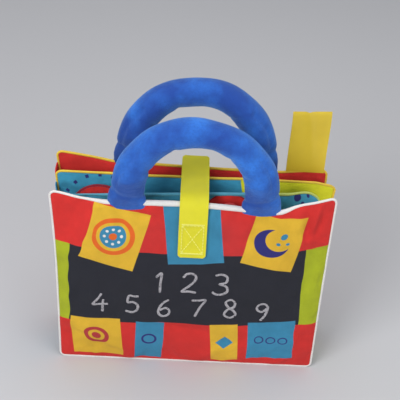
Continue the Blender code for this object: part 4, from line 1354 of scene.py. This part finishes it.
def sewn_tab(name, node):
    """A small folded cloth tab with its crossed stitches in front."""
    low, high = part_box(node)
    made = soft_block(name, low, high, min(high.x - low.x, high.y - low.y, high.z - low.z) * 0.35, 4)
    cloth_uv(made)
    made.data.materials.append(cotton(name + "_cotton", lambda cloth, u, v: teal_ink))
    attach(made, "leaf_2")
    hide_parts(node)
    rows = []
    for line in (((0.16, 0.1), (0.16, 0.9)), ((0.84, 0.1), (0.84, 0.9)),
                 ((0.16, 0.1), (0.84, 0.9)), ((0.84, 0.1), (0.16, 0.9))):
        rows.append([(Vector((low.x + (high.x - low.x) * across, low.y - 0.00012,
                              low.z + (high.z - low.z) * up)), Vector((0, -1, 0))) for across, up in line])
    seams = stitched(name + "_stitching", rows, white_thread, 0.0016, 0.0008, 0.00022)
    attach(seams, "leaf_2")


for side in ("left", "right"):
    sewn_tab("bead_tab_" + side, "cord_tab_" + side)


# Felt flower. Cut from thick red felt with a blanket-stitched edge, buttoned to leaf 1 by a
# four-hole button; it turns on the button's shank.
low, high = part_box("felt_flower")
flower_centre = (low + high) / 2
deselect()
bpy.ops.mesh.primitive_circle_add(vertices=180, radius=1, fill_type="NGON", rotation=(math.pi / 2, 0, 0))
flower = bpy.context.object
flower.name = "flower_felt"
bpy.ops.object.transform_apply(rotation=True)
with editing():
    for share in range(7):
        bpy.ops.mesh.inset(thickness=0.09 if share else 0.02, depth=0)
    bpy.ops.mesh.inset(thickness=0.19, depth=0)
    bpy.ops.mesh.delete(type="FACE")
    bpy.ops.mesh.select_all(action="SELECT")
    bpy.ops.mesh.extrude_region_move(TRANSFORM_OT_translate={"value": (0, 1, 0)})
    bpy.ops.mesh.select_all(action="SELECT")
    bpy.ops.mesh.normals_make_consistent(inside=False)
outer = max(math.hypot(vert.co.x, vert.co.z) for vert in flower.data.vertices)
inner = min(math.hypot(vert.co.x, vert.co.z) for vert in flower.data.vertices)
hole_radius = 0.0045
petal_tip = 0.0243
petal_notch = 0.30


def petal_reach(turn):
    """How far the flower's six petals reach at an angle."""
    return petal_tip * (1 - petal_notch + petal_notch * abs(math.sin(turn * 3)) ** 0.62)


for vert in flower.data.vertices:
    near = (math.hypot(vert.co.x, vert.co.z) - inner) / (outer - inner)
    turn = math.atan2(vert.co.z, vert.co.x)
    radius = hole_radius + (petal_reach(turn) - hole_radius) * near
    thick = (high.y - low.y) * (0.46 - 0.10 * max(near - 0.93, 0) / 0.07)
    wave = 0.0007 * near ** 2 * math.cos(turn * 3 + 0.6)
    wave += 0.0004 * noise.noise(Vector((radius * 200, turn * 2, 4)))
    side = -1 if vert.co.y < 0.5 else 1
    vert.co = flower_centre + Vector((radius * math.cos(turn), side * thick + wave, radius * math.sin(turn)))
pick(flower)
smooth_below(55)
flower.data.materials.append(fibre_look("red_felt_fibre", (0.60, 0.022, 0.026, 1), 420, 0.0007))
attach(flower, "flower")
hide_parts("felt_flower")
edge_stitches = []
for step in range(96):
    turn = 2 * math.pi * step / 96
    reach = petal_reach(turn)
    depth = 0.0007 * math.cos(turn * 3 + 0.6) - (high.y - low.y) * 0.46 - 0.00010
    edge_stitches.append([
        (flower_centre + Vector((radius * math.cos(turn), depth, radius * math.sin(turn))), Vector((0, -1, 0)))
        for radius in (reach - 0.0026, reach + 0.0001)])
flower_stitches = stitched("flower_stitching", edge_stitches, orange_thread, 0.0026, 0.0002, 0.00026)
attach(flower_stitches, "flower")

low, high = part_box("flower_button")
button = turned_piece("button", [
    (0, low.y + 0.0010), (0.0052, low.y + 0.0010), (0.0060, low.y + 0.0007), (0.0066, low.y + 0.0001),
    (0.0074, low.y), (0.0084, low.y + 0.0004), (0.0090, low.y + 0.0012), (0.0089, low.y + 0.0020),
    (0.0080, low.y + 0.0027), (0.0040, low.y + 0.0029), (0.0032, low.y + 0.0031),
    (0.0030, high.y), (0, high.y)],
    (flower_centre.x, 0, flower_centre.z), gloss("yellow_moulded_plastic", (0.80, 0.50, 0.02, 1), 0.26))


def hole_at(turn, y):
    """The middle of one of the button's holes; turn is in half circles."""
    return Vector((flower_centre.x + 0.0027 * math.cos(turn * math.pi), y,
                   flower_centre.z + 0.0027 * math.sin(turn * math.pi)))


def cut_out(piece, cutter):
    """Take the cutter's shape out of a piece."""
    hole = piece.modifiers.new("hole", "BOOLEAN")
    hole.object = cutter
    hole.operation = "DIFFERENCE"
    pick(piece)
    bpy.ops.object.modifier_apply(modifier="hole")
    bpy.data.objects.remove(cutter)


for turn in (0.25, 0.75, 1.25, 1.75):
    bpy.ops.mesh.primitive_cylinder_add(vertices=16, radius=0.0010, depth=0.0016,
                                        location=hole_at(turn, low.y + 0.0010), rotation=(math.pi / 2, 0, 0))
    cut_out(button, bpy.context.object)
smooth_below(40)
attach(button, "leaf_1")
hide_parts("flower_button")
crossing = []
for start, end, slant in ((0.25, 1.25, 1), (0.75, 1.75, -1)):
    for shift in (-0.00022, 0.00022):
        ends = [hole_at(turn, 0) + Vector((shift, 0, shift * slant)) for turn in (start, end)]
        path = [ends[0].lerp(ends[1], step / 8) for step in range(9)]
        for step, spot in enumerate(path):
            spot.y = low.y + 0.0014 - 0.0011 * math.sin(math.pi * step / 8) ** 0.5
        crossing.append(tube("button_thread", path, 0.00032, 2))
pick(*crossing)
bpy.ops.object.join()
button_thread = bpy.context.object
button_thread.data.materials.append(white_thread)
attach(button_thread, "leaf_1")


# Belt and buckle. Two lengths of lime webbing with a blue side-release buckle: the left one is
# sewn to leaf 2 with its socket, the right one carries the prong and slides in two cloth loops.
def joined(name, pieces, body, replaced=()):
    """Join the parts of one moulding."""
    pick(*pieces)
    bpy.ops.object.join()
    made = bpy.context.object
    made.name = name
    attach(made, body)
    if replaced:
        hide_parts(*replaced)


def carve(piece, low, high, rounding):
    """Cut a rounded block out of a piece."""
    cut_out(piece, soft_block("cutter", low, high, rounding))
    smooth_below(40)


belt_height = 0.100


def belt_rows(low, high, y):
    """Rows along X for a belt, its left end first."""
    return [(Vector((low + (high - low) * step / 40, y, belt_height)), Vector((0, 1, 0)), 1)
            for step in range(41)]


def seam(*spots):
    """A line of stitches on a face that looks back."""
    return [(Vector(spot), Vector((0, 1, 0))) for spot in spots]


blue_plastic = gloss("blue_moulded_plastic", (0.012, 0.075, 0.50, 1), 0.32)
low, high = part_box("belt_left")
belt = ribbon("belt_left_webbing", belt_rows(low.x, high.x + 0.004, (low.y + high.y) / 2), high.z - low.z,
              (high.y - low.y) * 0.9, 10, 0.25, (0, 0, 1))
belt.data.materials.append(lime_webbing)
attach(belt, "leaf_2")
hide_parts("belt_left")
outer = (low.y + high.y) / 2 + (high.y - low.y) * 0.45 + 0.0001
left, right, foot, head = low.x + 0.0022, low.x + 0.019, low.z + 0.0022, high.z - 0.0022
corners = ((left, outer, foot), (right, outer, foot), (right, outer, head), (left, outer, head))
lines = [seam(start, end) for start, end in crossed_box(corners)]
lines.append(seam((high.x - 0.0030, outer, low.z + 0.0015), (high.x - 0.0030, outer, high.z - 0.0015)))
belt_stitches = stitched("belt_left_stitching", lines, lime_thread)
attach(belt_stitches, "leaf_2")

low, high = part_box("buckle_socket")
socket = soft_block("socket_shell", low, high, 0.0026, 4, blue_plastic)
carve(socket, (low.x + 0.0105, low.y + 0.0014, low.z + 0.0021),
      (high.x + 0.002, high.y - 0.0014, high.z - 0.0021), 0.0006)
carve(socket, (low.x + 0.0135, low.y + 0.0012, low.z - 0.001),
      (low.x + 0.0235, high.y - 0.0012, low.z + 0.004), 0.0008)
carve(socket, (low.x + 0.0135, low.y + 0.0012, high.z - 0.004),
      (low.x + 0.0235, high.y - 0.0012, high.z + 0.001), 0.0008)
carve(socket, (low.x + 0.0150, high.y - 0.003, low.z + 0.0098),
      (low.x + 0.0220, high.y + 0.001, high.z - 0.0098), 0.0006)
carve(socket, (low.x + 0.0028, low.y - 0.001, low.z + 0.0028),
      (low.x + 0.0058, high.y + 0.001, high.z - 0.0028), 0.0005)
ribs = []
for number in range(4):
    x = high.x - 0.0068 + number * 0.0016
    ribs.append(soft_block("rib", (x, high.y - 0.0004, low.z + 0.0045),
                           (x + 0.0008, high.y + 0.0003, high.z - 0.0045), 0.00025, 2, blue_plastic))
joined("buckle_socket_moulding", [socket] + ribs, "leaf_2", ("buckle_socket",))

low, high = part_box("buckle_prong")
base_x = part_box("buckle_socket")[1].x + 0.0004
base = soft_block("prong_base", (base_x, low.y, low.z - 0.0004), high, 0.0022, 4, blue_plastic)
carve(base, (high.x - 0.0060, low.y - 0.001, low.z + 0.0030),
      (high.x - 0.0030, high.y + 0.001, high.z - 0.0030), 0.0005)
mid_y = (low.y + high.y) / 2
arms = [soft_block("prong_guide", (low.x + 0.0020, mid_y - 0.0016, 0.0980),
                   (base_x + 0.002, mid_y + 0.0016, 0.1020), 0.0008, 3, blue_plastic)]
for side in (-1, 1):
    inner, outside = belt_height + side * 0.0072, belt_height + side * 0.0102
    arms.append(soft_block("prong_arm", (low.x + 0.0040, mid_y - 0.0018, min(inner, outside)),
                           (base_x + 0.002, mid_y + 0.0018, max(inner, outside)), 0.0009, 3, blue_plastic))
    inner, outside = belt_height + side * 0.0068, belt_height + side * 0.0128
    arms.append(soft_block("prong_head", (low.x + 0.0045, mid_y - 0.0019, min(inner, outside)),
                           (low.x + 0.0125, mid_y + 0.0019, max(inner, outside)), 0.0016, 4, blue_plastic))
joined("buckle_prong_moulding", [base] + arms, "buckle", ("buckle_prong",))

low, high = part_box("belt_right")
belt = ribbon("belt_right_webbing", belt_rows(low.x - 0.0045, high.x, (low.y + high.y) / 2), high.z - low.z,
              (high.y - low.y) * 0.9, 10, 0.25, (0, 0, 1))
belt.data.materials.append(lime_webbing)
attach(belt, "buckle")
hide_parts("belt_right")
outer = (low.y + high.y) / 2 + (high.y - low.y) * 0.45 + 0.0001
lines = [seam((x, outer, low.z + 0.0015), (x, outer, high.z - 0.0015))
         for x in (low.x + 0.0030, high.x - 0.0025)]
belt_stitches = stitched("belt_right_stitching", lines, lime_thread)
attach(belt_stitches, "buckle")

for number in (1, 2):
    low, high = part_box("belt_loop_%d" % number)
    middle = (low.z + high.z) / 2
    half = (high.z - low.z) / 2
    rows = []
    line = [(-half - 0.0030, 0.0006), (-half + 0.0004, 0.0006)]
    for step in range(7):
        turn = math.pi / 2 * step / 6
        line.append((-half + 0.0006 + 0.0022 * (1 - math.cos(turn)),
                     0.0010 + (high.y - low.y - 0.0016) * math.sin(turn)))
    crossing = [(share * 0.0090, high.y - low.y - 0.0006 + 0.0002 * math.cos(share * 1.5))
                for share in (-0.9, -0.5, 0, 0.5, 0.9)]
    line += crossing + [(-z, y) for z, y in reversed(line)]
    spots = [Vector(((low.x + high.x) / 2, low.y + y, middle + z)) for z, y in line]
    for index, place in enumerate(spots):
        along = spots[min(index + 1, len(spots) - 1)] - spots[max(index - 1, 0)]
        rows.append((place, Vector((0, along.z, -along.y)).normalized(), 1))
    loop = ribbon("belt_loop_cloth_%d" % number, rows, high.x - low.x, 0.0009, 6)
    loop.data.materials.append(cotton("belt_loop_cotton_%d" % number, lambda cloth, u, v: red_ink))
    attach(loop, "leaf_2")
    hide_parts("belt_loop_%d" % number)
    lines = []
    for x in (low.x + 0.0012, high.x - 0.0012):
        lines.append([(place + Vector((x - place.x, 0, 0)) + normal * 0.0005, normal)
                      for place, normal, share in rows])
    loop_stitches = stitched("belt_loop_stitching_%d" % number, lines, white_thread, 0.0016, 0.0008, 0.0002)
    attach(loop_stitches, "leaf_2")


# Zip. Two woven tapes sewn across the back cover, moulded teeth that interlock in pairs, a slider
# with its bridge and a pull tab that hangs from it.
tape_look = webbing_look("blue_zip_tape", (0.020, 0.10, 0.42, 1), (0.010, 0.05, 0.26, 1), 0.0008)
for name, side in (("zip_tape_lower", 1), ("zip_tape_upper", -1)):
    low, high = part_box(name)
    rows = []
    for step in range(81):
        x = low.x + (high.x - low.x) * step / 80
        y = (low.y + high.y) / 2 + 0.0002 * math.sin(x * 210 + side)
        rows.append((Vector((x, y, (low.z + high.z) / 2)), Vector((0, 1, 0)), 1))
    tape = ribbon(name + "_weave", rows, high.z - low.z, (high.y - low.y) * 0.8, 10, 0.15, (0, 0, 1))
    tape.data.materials.append(tape_look)
    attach(tape, "back_cover")
    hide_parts(name)
    lines = []
    for z in ((low.z + 0.0018, low.z + 0.0034) if side > 0 else (high.z - 0.0018, high.z - 0.0034)):
        lines.append([(Vector((low.x + 0.002, low.y - 0.0001, z)), Vector((0, -1, 0))),
                      (Vector((high.x - 0.002, low.y - 0.0001, z)), Vector((0, -1, 0)))])
    tape_stitches = stitched(name + "_stitching", lines, white_thread, 0.0022, 0.0010, 0.00024)
    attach(tape_stitches, "back_cover")

low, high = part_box("zip_teeth")
middle = (low + high) / 2
deselect()
bpy.ops.mesh.primitive_cube_add(size=1)
tooth = bpy.context.object
tooth.scale = (0.00125, (high.y - low.y) * 0.92, 0.0030)
bpy.ops.object.transform_apply(scale=True)
edge = tooth.modifiers.new("edge", "BEVEL")
edge.width = 0.0003
edge.segments = 1
bpy.ops.object.modifier_apply(modifier="edge")
tooth_model = tooth.data
bpy.data.objects.remove(tooth)
places = []
pitch = 0.00270
count = int((high.x - low.x - 0.004) / pitch)
for number in range(count):
    for side in (-1, 1):
        x = low.x + 0.003 + (number + (0.5 if side > 0 else 0)) * pitch
        places.append(Matrix.Translation((x, middle.y, middle.z + side * 0.0009)))
teeth = copies("zip_teeth_moulding", tooth_model, places, white_plastic)
pick(teeth)
smooth_below(30)
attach(teeth, "back_cover")
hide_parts("zip_teeth")
stops = [soft_block("zip_stop", (x, low.y, low.z + 0.0004), (x + 0.0016, high.y, high.z - 0.0004),
                    0.0004, 2, white_plastic) for x in (low.x + 0.0004, high.x - 0.0020)]
joined("zip_end_stops", stops, "back_cover")

low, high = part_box("zip_slider")
middle = (low + high) / 2
slider = soft_block("slider_plate", low, high, 0.0008, 3, blue_plastic)
for vert in slider.data.vertices:
    share = (vert.co.x - low.x) / (high.x - low.x)
    vert.co.z = middle.z + (vert.co.z - middle.z) * (0.72 + 0.28 * min(share * 2.2, 1))
wings = [soft_block("slider_wing", (low.x + 0.0012, low.y + 0.0006, middle.z + side * 0.0038 - 0.0006),
                    (high.x - 0.0008, high.y + 0.0012, middle.z + side * 0.0038 + 0.0006), 0.0004, 2,
                    blue_plastic) for side in (-1, 1)]
bridge_path = [Vector((middle.x - 0.0042 + 0.0084 * step / 12,
                       low.y + 0.0002 - 0.0011 * math.sin(math.pi * step / 12), middle.z))
               for step in range(13)]
bridge = tube("slider_bridge", bridge_path, 0.0006, 3, look=blue_plastic)
joined("zip_slider_moulding", [slider, bridge] + wings, "zip_slider", ("zip_slider",))

low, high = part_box("zip_pull")
pull = soft_block("pull_plate", low, high, 0.0004, 2, blue_plastic)
middle_x = (low.x + high.x) / 2
carve(pull, (middle_x - 0.0016, low.y - 0.001, high.z - 0.0052),
      (middle_x + 0.0016, high.y + 0.001, high.z - 0.0018), 0.0005)
for vert in pull.data.vertices:
    drop = (high.z - vert.co.z) / (high.z - low.z)
    round_off_share = max(1 - (high.z - vert.co.z) / 0.0035, 0) + max(1 - (vert.co.z - low.z) / 0.0035, 0)
    width_share = 0.90 - 0.12 * math.sin(drop * math.pi) - 0.30 * round_off_share ** 2
    vert.co.x = middle_x + (vert.co.x - middle_x) * width_share
ribs = [soft_block("pull_rib", (middle_x - 0.0021, low.y - 0.0002, low.z + 0.0035 + number * 0.0016),
                   (middle_x + 0.0021, low.y + 0.0004, low.z + 0.0042 + number * 0.0016), 0.0002, 2,
                   blue_plastic) for number in range(6)]
joined("zip_pull_moulding", [pull] + ribs, "zip_pull", ("zip_pull",))


# Chalk numbers. Screen-printed in grey on the front cover's dark panel, with the grain and the
# blunt ends of chalk strokes.
chalk = Finish("chalk_print", roughness=0.95, Specular_IOR_Level=0.1)
grain = (chalk.noise(chalk.place()[-1], 850, 3, 0.8) - 0.36) * 9
chalk.feed("Base Color", chalk.mix(grain.clamped(), charcoal_ink, (0.40, 0.385, 0.41, 1)))
number_strokes = {
    "1": [((0.25, 0.78), (0.52, 1.0), (0.50, 0.5), (0.52, 0.0))],
    "2": [((0.10, 0.76), (0.22, 0.95), (0.50, 1.0), (0.76, 0.88), (0.74, 0.62), (0.46, 0.34), (0.08, 0.02),
           (0.45, 0.05), (0.88, 0.02))],
    "3": [((0.14, 0.94), (0.50, 1.0), (0.76, 0.86), (0.70, 0.62), (0.40, 0.52), (0.74, 0.44), (0.84, 0.20),
           (0.60, 0.02), (0.30, 0.0), (0.08, 0.12))],
    "4": [((0.52, 1.0), (0.30, 0.66), (0.06, 0.36), (0.45, 0.37), (0.92, 0.40)),
          ((0.64, 0.66), (0.62, 0.34), (0.64, -0.04))],
    "5": [((0.82, 0.98), (0.50, 0.97), (0.24, 0.98), (0.20, 0.58), (0.50, 0.62), (0.80, 0.46), (0.80, 0.18),
           (0.52, 0.0), (0.10, 0.06))],
    "6": [((0.70, 1.0), (0.38, 0.80), (0.16, 0.46), (0.16, 0.16), (0.44, 0.0), (0.76, 0.12), (0.80, 0.36),
           (0.54, 0.50), (0.20, 0.34))],
    "7": [((0.08, 0.94), (0.48, 0.96), (0.88, 1.0), (0.62, 0.56), (0.38, 0.0))],
    "8": [((0.70, 0.86), (0.44, 1.0), (0.18, 0.84), (0.34, 0.60), (0.66, 0.42), (0.82, 0.18), (0.52, 0.0),
           (0.18, 0.14), (0.30, 0.42), (0.66, 0.62), (0.70, 0.86))],
    "9": [((0.76, 0.74), (0.48, 0.50), (0.16, 0.64), (0.22, 0.92), (0.54, 1.0), (0.78, 0.82), (0.76, 0.50),
           (0.66, 0.22), (0.46, -0.04))]}


def smooth_line(points, steps=7):
    """Points along a Catmull-Rom curve through the given ones."""
    line = []
    for index in range(len(points) - 1):
        before, start = points[max(index - 1, 0)], points[index]
        end, after = points[index + 1], points[min(index + 2, len(points) - 1)]
        for step in range(steps):
            t = step / steps
            line.append(tuple(0.5 * (2 * b + (c - a) * t + (2 * a - 5 * b + 4 * c - d) * t * t
                                     + (3 * b - a - 3 * c + d) * t ** 3)
                              for a, b, c, d in zip(before, start, end, after)))
    return line + [points[-1]]


chalk_pieces = []
written = [("1", -0.0360, 0.0885, 1.05), ("2", -0.0085, 0.0910, 1.0), ("3", 0.0190, 0.0900, 1.08)]
written += [(figure, -0.0900 + 0.0300 * index, 0.0625 + 0.0012 * math.sin(index * 2.1),
             0.94 + 0.05 * math.cos(index * 1.7)) for index, figure in enumerate("456789")]
figure_width, figure_height, figure_slant = 0.0165, 0.0215, 0.0012
for figure, left, base, size in written:
    for stroke in number_strokes[figure]:
        line = smooth_line(stroke)
        path, shares = [], []
        for index, (across, up) in enumerate(line):
            x = left + across * figure_width * size + up * figure_slant
            z = base + up * figure_height * size
            path.append(Vector((x, cover_y(x, z), z)))
            blunt = 0.3 if index in (0, len(line) - 1) else 0
            shares.append(1 + 0.22 * noise.noise(Vector((x * 260, z * 260, 3))) - blunt)
        mark = tube("chalk_stroke", path, 0.00125, 2, shares=shares, look=chalk.material)
        for vert in mark.data.vertices:
            near = min(path, key=lambda spot: (spot.x - vert.co.x) ** 2 + (spot.z - vert.co.z) ** 2)
            vert.co.y = cover_y(vert.co.x, vert.co.z) + (0.00010 if vert.co.y > near.y else -0.00012)
        chalk_pieces.append(mark)
joined("chalk_numbers", chalk_pieces, "front_cover")
